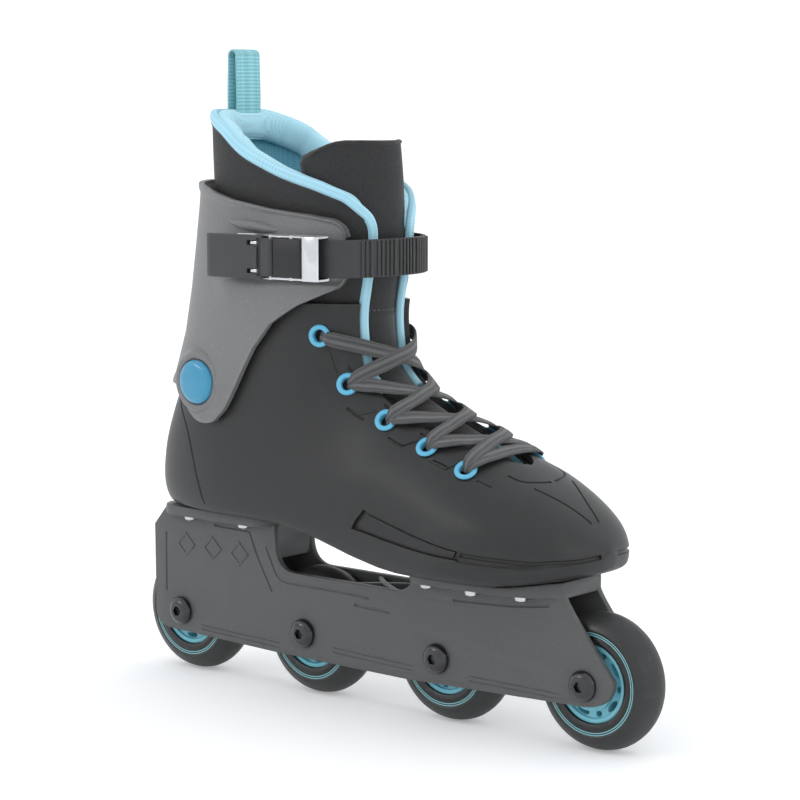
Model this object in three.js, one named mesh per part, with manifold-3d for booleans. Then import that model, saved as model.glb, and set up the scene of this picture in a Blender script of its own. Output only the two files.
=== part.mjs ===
// Inline skate for the right foot: a moulded boot with a hinged cuff, a ratchet buckle,
// a padded liner, laces through ten eyelets, and a moulded frame that carries four wheels.
// Millimetres. +X points to the toe, +Y to the inner side of the foot, +Z up.
// The origin is on the floor, midway between the first and last axle, in the plane of the wheels.

import * as THREE from 'three';
import { mergeVertices } from 'three/addons/utils/BufferGeometryUtils.js';
import Module from 'manifold-3d';

const wasm = await Module();
wasm.setup();

// ---------------------------------------------------------------- driving dimensions

const gap = 0.3; // clearance between pieces that touch

const wheelDiameter = 70;
const wheelWidth = 23.8;
const wheelCount = 4;
const axlePitch = 92.8;
const axleDiameter = 7.6;
const hubRimDiameter = 40;
const hubRimWidth = 18.6;
const bearingDiameter = 22;
const bearingBore = 8.2;
const bearingWidth = 7;
const spacerLength = 10;
const spacerDiameter = 11;
const boltHeadDiameter = 14.6;
const boltHeadHeight = 4;
const socketSize = 5;

const plateWall = 3.7; // side plate of the frame
const plateInside = 12.5; // half of the space between the side plates
const deckClear = 10; // from the top of a wheel to the top of the front deck
const heelLift = 16.3; // rear deck above front deck
const deckThickness = 5.5;
const rearDeckHalfWidth = 25;
const frontDeckHalfWidth = 27;
const ribThickness = 2.6;
const ribReach = 18; // how far the crossing ribs run fore and aft of the middle

const bootLength = 294;
const bootWidth = 101;
const shellWall = 3.4;
const shellTop = 136; // heights of the boot are above the front deck
const soleThickness = 6;
const throatHalfWidth = 20;
const linerWall = 4;
const collarTop = 236;
const linerSole = 4;
const insoleThickness = 4.4;
const tongueThickness = 4;
const tongueHalfWidth = 27;
const tongueCrown = 3.6; // how far the tongue stands up in the throat

const cuffWall = 3;
const cuffGap = 2.6; // running clearance between shell and cuff
const pivotX = -101;
const pivotZ = 90;
const pivotShank = 9.6;
const pivotHead = 15;
const capDiameter = 24;
const capHeight = 3.2;

const eyeletOuter = 12;
const eyeletHole = 6.6;
const eyeletBarrel = 8.6;
const eyeletDepth = 2.1;
const laceWidth = 6.6;
const laceThickness = 1.2;

const buckleX = -38; // lever pin
const buckleZ = 160.5;
const buckleWidth = 22.8;
const buckleSheet = 1.2;
const leverLength = 42;
const leverPlate = 2.4;
const leverPinHeight = 7.2;
const leverHub = 3.6;
const pawlPinForward = 14;
const pinDiameter = 2.6;
const strapWidth = 19.6;
const strapThickness = 1.8;
const buckleTurn = 4; // degrees: the buckle's front end follows the cuff inwards
const loopWidth = 18.5;
const loopHeight = 32.5; // above the collar
const loopSewn = 16; // below it
const loopGap = 4.4;
const loopTape = 1.3;

// ---------------------------------------------------------------- what follows from them

const axleZ = wheelDiameter / 2;
const rearAxleX = (-axlePitch * (wheelCount - 1)) / 2;
const frontAxleX = -rearAxleX;
const frontDeckZ = wheelDiameter + deckClear;
const plateOutside = plateInside + plateWall;
const scaleX = bootLength / 294;
const scaleY = bootWidth / 101;
const cavityFloor = soleThickness + gap + linerSole;
const insoleTop = cavityFloor + gap + insoleThickness;

// ---------------------------------------------------------------- solids

function solid(geometry) {
  const bare = geometry.index ? geometry.toNonIndexed() : geometry.clone();
  bare.deleteAttribute('normal');
  bare.deleteAttribute('uv');
  const merged = mergeVertices(bare, 1e-4);
  const source = merged.index.array;
  const triangles = [];
  for (let i = 0; i < source.length; i += 3) {
    const [a, b, c] = [source[i], source[i + 1], source[i + 2]];
    if (a !== b && b !== c && c !== a) triangles.push(a, b, c);
  }
  return new wasm.Manifold(new wasm.Mesh({
    numProp: 3,
    vertProperties: Float32Array.from(merged.attributes.position.array),
    triVerts: Uint32Array.from(triangles),
  }));
}

function geometryOf(manifold) {
  const mesh = manifold.getMesh();
  const geometry = new THREE.BufferGeometry();
  geometry.setAttribute('position', new THREE.BufferAttribute(Float32Array.from(mesh.vertProperties), 3));
  geometry.setIndex(new THREE.BufferAttribute(Uint32Array.from(mesh.triVerts), 1));
  return geometry;
}

// A closed skin through rings of points, each ring with the same number of points. A thin ring, whose
// second half comes back along its first, has its ends closed straight across.
function loft(rings, thin = false) {
  const count = rings[0].length;
  const points = rings.flat();
  const end = (rings.length - 1) * count;
  const triangles = [];
  for (let j = 0; j < count; j += 1) {
    const k = (j + 1) % count;
    for (let i = 0; i < rings.length - 1; i += 1) {
      const a = i * count;
      const b = a + count;
      triangles.push(a + j, b + j, b + k, a + j, b + k, a + k);
    }
  }
  if (thin) {
    for (let j = 0; j < count / 2 - 1; j += 1) {
      const [k, m, n] = [j + 1, count - 2 - j, count - 1 - j];
      triangles.push(n, j, k, n, k, m, end + n, end + k, end + j, end + n, end + m, end + k);
    }
  } else {
    const centre = (ring) => ring.reduce((sum, p) => sum.add(p), new THREE.Vector3()).divideScalar(count);
    const first = points.push(centre(rings[0])) - 1;
    const last = points.push(centre(rings[rings.length - 1])) - 1;
    for (let j = 0; j < count; j += 1) {
      const k = (j + 1) % count;
      triangles.push(first, j, k, last, end + k, end + j);
    }
  }
  let volume = 0;
  for (let i = 0; i < triangles.length; i += 3) {
    const [a, b, c] = [points[triangles[i]], points[triangles[i + 1]], points[triangles[i + 2]]];
    volume += a.dot(new THREE.Vector3().crossVectors(b, c));
  }
  if (volume < 0) triangles.reverse();
  const geometry = new THREE.BufferGeometry().setFromPoints(points);
  geometry.setIndex(triangles);
  return geometry;
}

function shapeOf(outline) {
  if (outline instanceof THREE.Shape) return outline;
  return new THREE.Shape(outline.map(([a, b]) => new THREE.Vector2(a, b)));
}

const flatEnds = { bevelEnabled: false, curveSegments: 5 };

// An outline in the X-Z plane, given a thickness along Y.
function sideProfile(outline, y0, y1) {
  const geometry = new THREE.ExtrudeGeometry(shapeOf(outline), { ...flatEnds, depth: y1 - y0 });
  geometry.rotateX(Math.PI / 2);
  geometry.translate(0, y1, 0);
  return geometry;
}

// An outline in the X-Y plane, given a height along Z.
function planProfile(outline, z0, z1) {
  const geometry = new THREE.ExtrudeGeometry(shapeOf(outline), { ...flatEnds, depth: z1 - z0 });
  geometry.translate(0, 0, z0);
  return geometry;
}

function block(x0, x1, y0, y1, z0, z1) {
  const geometry = new THREE.BoxGeometry(x1 - x0, y1 - y0, z1 - z0);
  geometry.translate((x0 + x1) / 2, (y0 + y1) / 2, (z0 + z1) / 2);
  return geometry;
}

function rodY(radius, x, z, y0, y1, sides) {
  const geometry = new THREE.CylinderGeometry(radius, radius, y1 - y0, sides);
  geometry.translate(x, (y0 + y1) / 2, z);
  return geometry;
}

function rodZ(radius, x, y, z0, z1, sides) {
  const geometry = new THREE.CylinderGeometry(radius, radius, z1 - z0, sides);
  geometry.rotateX(Math.PI / 2);
  geometry.translate(x, y, (z0 + z1) / 2);
  return geometry;
}

// A turned piece: [radius, height] pairs about the Y axis.
function turned(profile, sides) {
  const points = profile.map(([r, h]) => new THREE.Vector2(r, h));
  if (THREE.ShapeUtils.area(points) < 0) points.reverse();
  return new THREE.LatheGeometry(points, sides);
}

const all = (geometries) => geometries.map(solid).reduce((sum, piece) => sum.add(piece));

// ---------------------------------------------------------------- materials

function finish(color, roughness, metalness = 0) {
  return new THREE.MeshStandardMaterial({ color, roughness, metalness });
}

const shellPlastic = finish(0x3a3a3b, 0.5);
const cuffPlastic = finish(0x6b6c6d, 0.48);
const framePlastic = finish(0x5c5d5e, 0.5);
const leatherette = finish(0x353536, 0.6);
const padding = finish(0x6fb4d6, 0.85);
const webbing = finish(0x5fc4d6, 0.8);
const laceCloth = finish(0x5a5a5b, 0.9);
const blueGloss = finish(0x2f8fbf, 0.2);
const blueHub = finish(0x4fb2cb, 0.4);
const urethane = finish(0x3c3c3e, 0.45);
const chrome = finish(0xd0d2d6, 0.12, 1);
const steel = finish(0xa8abb0, 0.3, 1);
const blackSteel = finish(0x151516, 0.25, 0.8);
const blackPlastic = finish(0x29292a, 0.45);

const skate = new THREE.Group();
const boot = new THREE.Group();
boot.position.z = frontDeckZ;
skate.add(boot);

function piece(group, name, geometry, material) {
  const mesh = new THREE.Mesh(geometry, material);
  mesh.name = name;
  group.add(mesh);
  return mesh;
}

// ---------------------------------------------------------------- boot surface

// Sections of the foot and ankle from the collar down to the toe. Each row gives the front end and
// the rear end of the section as x and height, then half its width, its middle in y, and how square
// it is. The rows are for a boot 294 long and 101 wide.
const sections = [
  [4, 242, -117, 242, 40, 0, 2.6],
  [8.5, 200, -115, 200, 40, 0, 2.7],
  [9, 170, -113, 170, 39, 0, 2.7],
  [6, 148, -113, 148, 38, 0, 2.5],
  [4, 132, -119, 128, 37.5, 0, 2.35],
  [5, 117, -130, 102, 38, 0, 2.35],
  [9, 102, -144, 75, 38, 0, 2.4],
  [24, 90, -155, 46, 37.5, 0, 2.4],
  [40, 82, -155, 20, 38, 0, 2.4],
  [52, 77, -136, 2, 39.5, 0, 2.4],
  [64, 72, -88, -2, 41, 0, 2.4],
  [75, 67, -35, -9, 43, 0.5, 2.35],
  [86.5, 61.5, 10, -16, 46, 1.5, 2.3],
  [98, 55.5, 50, -18, 49.5, 2.8, 2.3],
  [109, 49, 84, -16, 47.5, 3, 2.3],
  [119.5, 41.5, 108, -12, 42, 4, 2.3],
  [129, 33.5, 124, -7, 33.5, 5, 2.3],
  [136, 25, 134, 0, 22, 5.5, 2.2],
  [139.5, 18, 138.5, 8, 5, 6, 2],
];
const lastSection = sections.length - 1;

// The section at any place along the rows, by a smooth curve through them.
function sectionAt(place) {
  const i = Math.min(Math.floor(place), lastSection - 1);
  const u = place - i;
  const rows = [-1, 0, 1, 2].map((k) => sections[Math.min(Math.max(i + k, 0), lastSection)]);
  const [p, q, r, s] = rows;
  return q.map((_, k) => 0.5 * (2 * q[k] + (r[k] - p[k]) * u + (2 * p[k] - 5 * q[k] + 4 * r[k] - s[k]) * u * u
    + (3 * q[k] - p[k] - 3 * r[k] + s[k]) * u * u * u));
}

// A point on a section. Turn 0 is the front, 180 degrees the rear, and the inner side is positive.
function bootPoint(place, turn, inset = 0) {
  const [fx, fz, rx, rz, halfWidth, middle, square] = sectionAt(place);
  const depth = Math.hypot(fx - rx, fz - rz);
  const trim = inset / depth;
  const c = Math.cos(turn);
  const s = Math.sin(turn);
  const along = 0.5 * (1 - Math.sign(c) * Math.abs(c) ** (2 / square));
  const share = trim + along * (1 - 2 * trim);
  const side = (halfWidth - inset) * Math.sign(s) * Math.abs(s) ** (2 / square);
  return new THREE.Vector3(
    (fx + (rx - fx) * share) * scaleX,
    (side + middle) * scaleY,
    fz + (rz - fz) * share,
  );
}

function bootNormal(place, turn) {
  const step = 0.02;
  const along = bootPoint(place + step, turn).sub(bootPoint(place - step, turn));
  const around = bootPoint(place, turn + step).sub(bootPoint(place, turn - step));
  return along.cross(around).normalize();
}

// Every skin of the boot has its facets in the same places, so that one nests in the next.
const skinPlaces = [
  0, 1, 2, 3, 4, 5, 5.7, 6.4, 7.2, 8, 9, 10, 11, 12, 13, 14, 14.8, 15.6, 16.2, 16.8, 17.4, lastSection,
];
const skinSides = 20;

function bootLoft(from, to, inset) {
  const rings = [];
  for (const place of skinPlaces.filter((at) => at >= from && at <= to)) {
    const thicker = 1 + Math.max(0, place - 14.8) * 0.55; // the toe cap is thicker than the sides
    const ring = [];
    for (let j = 0; j < skinSides; j += 1) {
      ring.push(bootPoint(place, (2 * Math.PI * (j + 0.5)) / skinSides, inset * thicker));
    }
    rings.push(ring);
  }
  return loft(rings);
}

// Half the width of the boot's outside at a place in the side view.
function wallAt(x, z) {
  let best = { miss: Infinity };
  for (let place = 0; place < 12; place += 0.1) {
    for (let turn = Math.PI / 3; turn < Math.PI; turn += 0.02) {
      const point = bootPoint(place, turn);
      const miss = Math.hypot(point.x - x, point.z - z);
      if (miss < best.miss) best = { miss, y: point.y };
    }
  }
  return best.y;
}

// Underside of the boot: flat on the rear deck, down the arch, flat on the front deck, up to the toe.
const soleLine = [
  [-175, heelLift],
  [-46, heelLift],
  [-22, heelLift - 3.8],
  [4, heelLift - 11],
  [24, 1.2],
  [36, 0],
  [95, 0],
  [141, 7.2],
  [165, 12],
].map(([x, z]) => [x * scaleX, z + gap]);

function soleHeight(x) {
  const i = Math.max(1, soleLine.findIndex(([at]) => at > x));
  const [a, b] = [soleLine[i - 1], soleLine[i]];
  return a[1] + ((b[1] - a[1]) * (x - a[0])) / (b[0] - a[0]);
}

function aboveSole(rise, top) {
  const line = soleLine.map(([x, z]) => [x, z + rise]);
  return sideProfile([...line, [soleLine[soleLine.length - 1][0], top], [soleLine[0][0], top]], -90, 90);
}

// ---------------------------------------------------------------- shell

const eyeletPlaces = [
  [4.7, 0.95],
  [6.3, 0.73],
  [7.85, 0.67],
  [9.85, 0.65],
  [11.6, 0.64],
];

function eyeletFrame(index, side) {
  const [place, turn] = eyeletPlaces[index];
  const middle = bootPoint(place, side * turn);
  const out = bootNormal(place, side * turn);
  if (out.y * side < 0) out.negate();
  return { middle, out };
}

function alongNormal(geometry, { middle, out }, shift = 0) {
  geometry.applyQuaternion(new THREE.Quaternion().setFromUnitVectors(new THREE.Vector3(0, 1, 0), out));
  geometry.translate(...middle.clone().addScaledVector(out, shift).toArray());
  return geometry;
}

// The throat is as wide as it gets down to the instep, and closes round its lower end.
const throatEnd = 12.5;

function throatHalf(place) {
  return throatHalfWidth * Math.min(1, Math.sqrt(Math.max(0.06, (throatEnd - place) / 2.4)));
}

function throatCut(margin) {
  const rings = [];
  for (const place of [0, 1, 2.4, 3.5, 4.5, 5.5, 6.5, 7.5, 8.5, 9.5, 10.5, 11.3, 11.9, 12.3]) {
    const [fx, fz, rx, rz] = sectionAt(place);
    const inward = new THREE.Vector3(rx - fx, 0, rz - fz).normalize();
    const front = new THREE.Vector3(fx * scaleX, 0, fz);
    const half = throatHalf(place) - margin;
    rings.push([[-30, -half], [-30, half], [26, half], [26, -half]].map(([depth, y]) => {
      const corner = front.clone().addScaledVector(inward, depth);
      corner.y = y;
      return corner;
    }));
  }
  return solid(loft(rings));
}

const sides = [['lateral', -1], ['medial', 1]];
const pivot = { x: pivotX * scaleX, z: pivotZ };
const pivotWall = wallAt(pivot.x, pivot.z);
const cuffFace = pivotWall + cuffGap + cuffWall + 0.8; // outside of the cuff's pivot pad
const pinHeadThickness = 1.2;
const pinInner = pivotWall - shellWall + 0.8; // the pin's head is let into the inside of the shell

function makeShell() {
  let shell = solid(bootLoft(2, lastSection, 0));
  shell = shell.intersect(solid(aboveSole(0, shellTop)));
  let hollow = solid(bootLoft(1, 16.8, shellWall));
  hollow = hollow.intersect(solid(aboveSole(soleThickness, shellTop + 60)));
  shell = shell.subtract(hollow).subtract(throatCut(0));
  for (const [, side] of sides) {
    for (let i = 0; i < eyeletPlaces.length; i += 1) {
      const hole = new THREE.CylinderGeometry(eyeletBarrel / 2 + gap, eyeletBarrel / 2 + gap, 14, 10);
      shell = shell.subtract(solid(alongNormal(hole, eyeletFrame(i, side))));
    }
    const through = side * pivotWall;
    const counterbore = side * (pinInner + pinHeadThickness + gap);
    const bore = rodY(pivotShank / 2 + gap, pivot.x, pivot.z, Math.min(through * 0.7, through * 1.2),
      Math.max(through * 0.7, through * 1.2), 16);
    const seat = rodY(pivotHead / 2 + gap, pivot.x, pivot.z, Math.min(counterbore * 0.7, counterbore),
      Math.max(counterbore * 0.7, counterbore), 16);
    shell = shell.subtract(solid(bore)).subtract(solid(seat));
  }
  return geometryOf(shell);
}

piece(boot, 'boot_shell', makeShell(), shellPlastic);

for (const [label, side] of sides) {
  for (let i = 0; i < eyeletPlaces.length; i += 1) {
    const lift = 0.75; // the flange clears the crowned shell
    const ring = turned([
      [eyeletHole / 2, -eyeletDepth],
      [eyeletBarrel / 2, -eyeletDepth],
      [eyeletBarrel / 2, lift],
      [eyeletOuter / 2, lift],
      [eyeletOuter / 2 - 1.2, lift + 1.1],
      [eyeletHole / 2, lift + 0.8],
      [eyeletHole / 2, -eyeletDepth],
    ], 8);
    piece(boot, `eyelet_${label}_${i + 1}`, alongNormal(ring, eyeletFrame(i, side)), blueGloss);
  }
}

// ---------------------------------------------------------------- laces

// A ribbon that follows the boot's surface between two places, standing off it by a height.
function ribbon(from, to, heights, steps) {
  const rings = [];
  const at = (s) => {
    const place = from[0] + (to[0] - from[0]) * s;
    const turn = from[1] + (to[1] - from[1]) * s;
    const out = bootNormal(place, turn);
    if (out.x + out.z < 0) out.negate();
    const clear = THREE.MathUtils.smoothstep(Math.min(s, 1 - s), 0.15, 0.3);
    const height = heights[0] + (heights[1] - heights[0]) * clear;
    return { out, middle: bootPoint(place, turn).addScaledVector(out, height) };
  };
  for (let i = 0; i <= steps; i += 1) {
    const s = i / steps;
    const here = at(s);
    const forward = at(Math.min(1, s + 0.02)).middle.sub(at(Math.max(0, s - 0.02)).middle).normalize();
    const across = new THREE.Vector3().crossVectors(forward, here.out).normalize();
    rings.push([[-1, -1], [1, -1], [1, 1], [-1, 1]].map(([a, b]) => here.middle.clone()
      .addScaledVector(across, (a * laceWidth) / 2)
      .addScaledVector(here.out, (b * laceThickness) / 2)));
  }
  return loft(rings);
}

function makeLaces() {
  const at = (index, side) => [eyeletPlaces[index][0], side * eyeletPlaces[index][1]];
  const pieces = [];
  const last = eyeletPlaces.length - 1;
  pieces.push(ribbon(at(last, -1), at(last, 1), [3.2, 2], 7));
  for (let i = 0; i < last; i += 1) {
    pieces.push(ribbon(at(i + 1, -1), at(i, 1), [3.2, 2], 7));
    pieces.push(ribbon(at(i + 1, 1), at(i, -1), [3.2, 2], 7));
  }
  for (const [, side] of sides) {
    for (let i = 0; i <= last; i += 1) {
      const stub = new THREE.CylinderGeometry(eyeletHole / 2 - 0.5, eyeletHole / 2 - 0.5, 5, 6);
      pieces.push(alongNormal(stub, eyeletFrame(i, side), 0.8));
    }
  }
  return geometryOf(all(pieces));
}

piece(boot, 'laces', makeLaces(), laceCloth);

// ---------------------------------------------------------------- liner, insole, tongue

const linerTop = [
  [-128, collarTop],
  [-108, collarTop],
  [-88, 228],
  [-72, 217],
  [-46, 207],
  [-21, 200],
  [-6, 194],
  [2, 184],
  [8, 160],
].map(([x, z]) => [x * scaleX, z]);

function makeLiner() {
  const outside = shellWall + gap + 0.2;
  const inside = outside + linerWall;
  let liner = solid(bootLoft(0, 16.2, outside));
  liner = liner.intersect(solid(aboveSole(soleThickness + gap, 260)));
  const cover = sideProfile([...linerTop, [200, 100], [200, -40], [-200, -40], [-200, collarTop]], -90, 90);
  liner = liner.intersect(solid(cover));
  let foot = solid(bootLoft(0, 15.6, inside));
  foot = foot.intersect(solid(aboveSole(cavityFloor, 300)));
  const openAbove = solid(planProfile([[-92, -20], [-20, -20], [-20, 20], [-92, 20]], 200, 260));
  return geometryOf(liner.subtract(foot).subtract(openAbove).subtract(throatCut(1)));
}

piece(boot, 'liner', makeLiner(), padding);

function makeInsole() {
  const around = shellWall + linerWall + 1.1;
  const bed = solid(bootLoft(4, 15.6, around));
  const line = soleLine.map(([x, z]) => [x, z + cavityFloor + gap]);
  const back = soleLine.map(([x, z]) => [x, z + insoleTop]).reverse();
  return geometryOf(bed.intersect(solid(sideProfile([...line, ...back], -90, 90))));
}

piece(boot, 'insole', makeInsole(), padding);

// The tongue runs under the liner's edges and rises in the throat between them.
function makeTongue() {
  const under = shellWall + linerWall + 1.4;
  const rings = [];
  for (const place of [0.58, 1.2, 2, 3, 4, 5, 5.7, 6.4, 7.2, 8, 9, 10, 11, 11.7]) {
    const flare = 1 + Math.max(0, 3 - place) * 0.05;
    const half = tongueHalfWidth * flare * Math.min(1, 0.5 + (throatEnd - place) * 0.14);
    const top = [];
    const bottom = [];
    for (let k = 0; k <= 10; k += 1) {
      const y = half * (k / 5 - 1);
      const [, , , , halfWidth, , square] = sectionAt(place);
      const turn = Math.asin(Math.min(1, Math.abs(y) / (halfWidth - under)) ** (square / 2)) * Math.sign(y);
      const room = throatHalf(place) - 3;
      const bulge = Math.abs(y) < room ? Math.cos((y / room) * (Math.PI / 2)) : 0;
      top.push(bootPoint(place, turn, under - tongueCrown * bulge));
      bottom.push(bootPoint(place, turn, under + tongueThickness - tongueCrown * bulge));
    }
    rings.push([...top, ...bottom.reverse()]);
  }
  return loft(rings, true);
}

piece(boot, 'tongue', makeTongue(), leatherette);

// A folded tape sewn to the inside of the collar at the heel, standing up as a finger loop.
function makeLoop() {
  const bow = loopGap / 2 + loopTape;
  const x0 = -106.7 * scaleX;
  const foot = collarTop - loopSewn;
  const top = collarTop + loopHeight - bow;
  const fold = (radius, end) => {
    const shape = new THREE.Shape();
    shape.moveTo(x0 + bow - radius, end);
    shape.lineTo(x0 + bow + radius, end);
    shape.lineTo(x0 + bow + radius, top);
    shape.absarc(x0 + bow, top, radius, 0, Math.PI, false);
    return shape;
  };
  const tape = solid(sideProfile(fold(bow, foot), -loopWidth / 2, loopWidth / 2));
  return geometryOf(tape.subtract(solid(sideProfile(fold(bow - loopTape, foot - 5), -loopWidth, loopWidth))));
}

piece(boot, 'pull_loop', makeLoop(), webbing);

// ---------------------------------------------------------------- cuff

// Level rings of the cuff's outside: height, rear x, front x, half width.
const cuffRings = [
  [55, -156, 22, 42],
  [80, -148, 18, 42.4],
  [95, -142, 15, 42.4],
  [115, -134.5, 13, 42.4],
  [140, -129, 13, 42.4],
  [165, -125, 14, 42.5],
  [185, -122, 14, 42.5],
  [205, -120, 15, 42.5],
];
const medialEdge = -20; // the cuff reaches less far forward on the inner side
const cuffSquareFront = 2.8;
const cuffSquareRear = 2.4;

function cuffPoint([z, rear, front, half], turn, inset) {
  const middle = ((rear + front) / 2) * scaleX;
  const long = ((front - rear) / 2) * scaleX - inset;
  const wide = half * scaleY - inset;
  const c = Math.cos(turn);
  const s = Math.sin(turn);
  const power = 2 / (c > 0 ? cuffSquareFront : cuffSquareRear);
  return new THREE.Vector3(
    middle + long * Math.sign(c) * Math.abs(c) ** power,
    wide * Math.sign(s) * Math.abs(s) ** power,
    z,
  );
}

function cuffLoft(inset, sideCount) {
  const turns = Array.from({ length: sideCount }, (_, j) => (2 * Math.PI * (j + 0.5)) / sideCount);
  return loft(cuffRings.map((row) => turns.map((turn) => cuffPoint(row, turn, inset))));
}

const cuffOutline = [
  [-135, 200],
  [-100, 195],
  [-72, 189],
  [-45, 185],
  [-20, 182],
  [-1, 178.5],
  [-1, 147],
  [-13, 141.5],
  [-28, 135],
  [-46, 124.5],
  [-60, 110.4],
  [-70, 92],
  [-78, 78],
  [-88, 69.5],
  [-99, 68],
  [-110, 73],
  [-118, 84],
  [-160, 88],
].map(([x, z]) => [x * scaleX, z]);

function makeCuff() {
  let cuff = solid(cuffLoft(0, 28));
  for (const [, side] of sides) {
    const ends = [side * (cuffFace - cuffWall), side * cuffFace];
    const pad = rodY(capDiameter / 2 + 2.4, pivot.x, pivot.z, Math.min(...ends), Math.max(...ends), 24);
    cuff = cuff.add(solid(pad));
  }
  cuff = cuff.subtract(solid(cuffLoft(cuffWall, 28)));
  cuff = cuff.intersect(solid(sideProfile(cuffOutline, -70, 70)));
  cuff = cuff.subtract(solid(block(medialEdge * scaleX, 80, 0, 80, 0, 260)));
  for (const [, side] of sides) {
    const seat = [side * (cuffFace - 1.2), side * (cuffFace + 5)];
    const recess = rodY(capDiameter / 2 + gap, pivot.x, pivot.z, Math.min(...seat), Math.max(...seat), 24);
    cuff = cuff.subtract(solid(recess));
    const bore = [side * 20, side * 60];
    const radius = (pivotShank / 2 + 0.2) / Math.cos(Math.PI / 16);
    cuff = cuff.subtract(solid(rodY(radius, pivot.x, pivot.z, Math.min(...bore), Math.max(...bore), 16)));
  }
  const rivetHole = rodY(2.3, rivetX, buckleZ, -60, -20, 10);
  const screwHole = rodY(2.3, strapScrewX, buckleZ, 20, 60, 10);
  return geometryOf(cuff.subtract(solid(rivetHole)).subtract(solid(screwHole)));
}

const rivetX = (buckleX - 22) * scaleX;
const strapScrewX = -52 * scaleX;
piece(boot, 'cuff', makeCuff(), cuffPlastic);

for (const [label, side] of sides) {
  const pin = turned([
    [0, pinInner],
    [pivotHead / 2, pinInner],
    [pivotHead / 2, pinInner + pinHeadThickness],
    [pivotShank / 2, pinInner + pinHeadThickness],
    [pivotShank / 2, cuffFace - 1.2],
    [0, cuffFace - 1.2],
  ], 16);
  const cap = turned([
    [0, cuffFace - 0.9],
    [capDiameter / 2, cuffFace - 0.9],
    [capDiameter / 2, cuffFace + capHeight * 0.3],
    [capDiameter / 2 - 2.2, cuffFace + capHeight * 0.8],
    [0, cuffFace + capHeight],
  ], 24);
  for (const [name, geometry, material] of [['pin', pin, steel], ['cap', cap, blueGloss]]) {
    if (side < 0) geometry.rotateX(Math.PI);
    geometry.translate(pivot.x, 0, pivot.z);
    piece(boot, `cuff_pivot_${name}_${label}`, geometry, material);
  }
}

// ---------------------------------------------------------------- buckle and strap

// In the buckle's own frame +X is forward, +Y is towards the foot and Z is up, with Y = 0 on the cuff.
const buckle = new THREE.Group();
const buckleFace = 42.7 * scaleY + gap;
buckle.position.set(buckleX * scaleX, -buckleFace, buckleZ);
buckle.rotation.z = THREE.MathUtils.degToRad(buckleTurn);
boot.add(buckle);

const halfBuckle = buckleWidth / 2;
const topHeight = leverPinHeight + leverHub;
const flangeHeight = topHeight - leverPlate - gap;
const baseRear = -27;
const baseFront = 33;
const noseRear = 23.4;
const pinSides = 10;
const pinHole = (pinDiameter / 2 + 0.15) / Math.cos(Math.PI / pinSides);
const insideFlange = halfBuckle - buckleSheet - gap;

function makeBase() {
  const parts = [block(baseRear, baseFront, -buckleSheet, 0, -halfBuckle, halfBuckle)];
  for (const side of [-1, 1]) {
    const low = side < 0 ? -halfBuckle : halfBuckle - buckleSheet;
    const wall = new THREE.Shape([
      [-12, 0],
      [baseFront, 0],
      [baseFront, -topHeight],
      [noseRear, -topHeight],
      [noseRear - 1, -flangeHeight],
      [-8, -flangeHeight],
      [-12, -flangeHeight + 3],
    ].map(([x, y]) => new THREE.Vector2(x, y)));
    parts.push(planProfile(wall, low, low + buckleSheet));
  }
  parts.push(block(noseRear, baseFront, -topHeight, -topHeight + 1.6, -halfBuckle, halfBuckle));
  let base = all(parts);
  for (const x of [0, pawlPinForward]) {
    base = base.subtract(solid(rodZ(pinHole, x, -leverPinHeight, -halfBuckle - 1, halfBuckle + 1, pinSides)));
  }
  return geometryOf(base.subtract(solid(rodY(2.3, rivetX - buckle.position.x, 0, -4, 4, 10))));
}

function makeLever() {
  const hub = rodZ(leverHub, 0, -leverPinHeight, -insideFlange, insideFlange, 16);
  const neck = block(-6.5, 0, -topHeight, -topHeight + leverPlate, -insideFlange, insideFlange);
  const paddle = new THREE.Shape();
  paddle.moveTo(-6, -topHeight + leverPlate);
  paddle.lineTo(-leverLength + 3, -topHeight + leverPlate + 0.9);
  paddle.quadraticCurveTo(-leverLength, -topHeight + leverPlate + 1.4, -leverLength, -topHeight + 2.6);
  paddle.quadraticCurveTo(-leverLength, -topHeight + 0.6, -leverLength + 5, -topHeight);
  paddle.lineTo(-6, -topHeight);
  const lever = all([hub, neck, planProfile(paddle, -halfBuckle, halfBuckle)]);
  const bore = rodZ(pinHole, 0, -leverPinHeight, -halfBuckle - 1, halfBuckle + 1, pinSides);
  return geometryOf(lever.subtract(solid(bore)));
}

function makePawl() {
  const rear = leverHub + 0.4 - pawlPinForward;
  const front = noseRear - 0.8 - pawlPinForward;
  const outline = [
    [rear, 0.2],
    [rear + 4, 1.2],
    [front - 3, 2.5],
    [front, 2.5],
    [front, -leverHub],
    [rear, -leverHub],
  ].map(([x, y]) => [x + pawlPinForward, y - leverPinHeight]);
  let pawl = solid(planProfile(outline, -insideFlange, insideFlange));
  const pocket = rodZ(3.4, pawlPinForward, -leverPinHeight, -3, 3, 14);
  const bore = rodZ(pinHole, pawlPinForward, -leverPinHeight, -halfBuckle - 1, halfBuckle + 1, pinSides);
  return geometryOf(pawl.subtract(solid(pocket)).subtract(solid(bore)));
}

class Coil extends THREE.Curve {
  getPoint(t, target = new THREE.Vector3()) {
    const turn = t * 2 * Math.PI * 3;
    return target.set(Math.cos(turn) * 2.4, Math.sin(turn) * 2.4, (t - 0.5) * 4.2);
  }
}

function makeSpring() {
  const wire = new THREE.Shape(new THREE.EllipseCurve(0, 0, 0.4, 0.4).getPoints(5).slice(0, 5));
  const coil = new THREE.ExtrudeGeometry(wire, { steps: 24, extrudePath: new Coil(), bevelEnabled: false });
  coil.translate(pawlPinForward, -leverPinHeight, 0);
  return coil;
}

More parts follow.
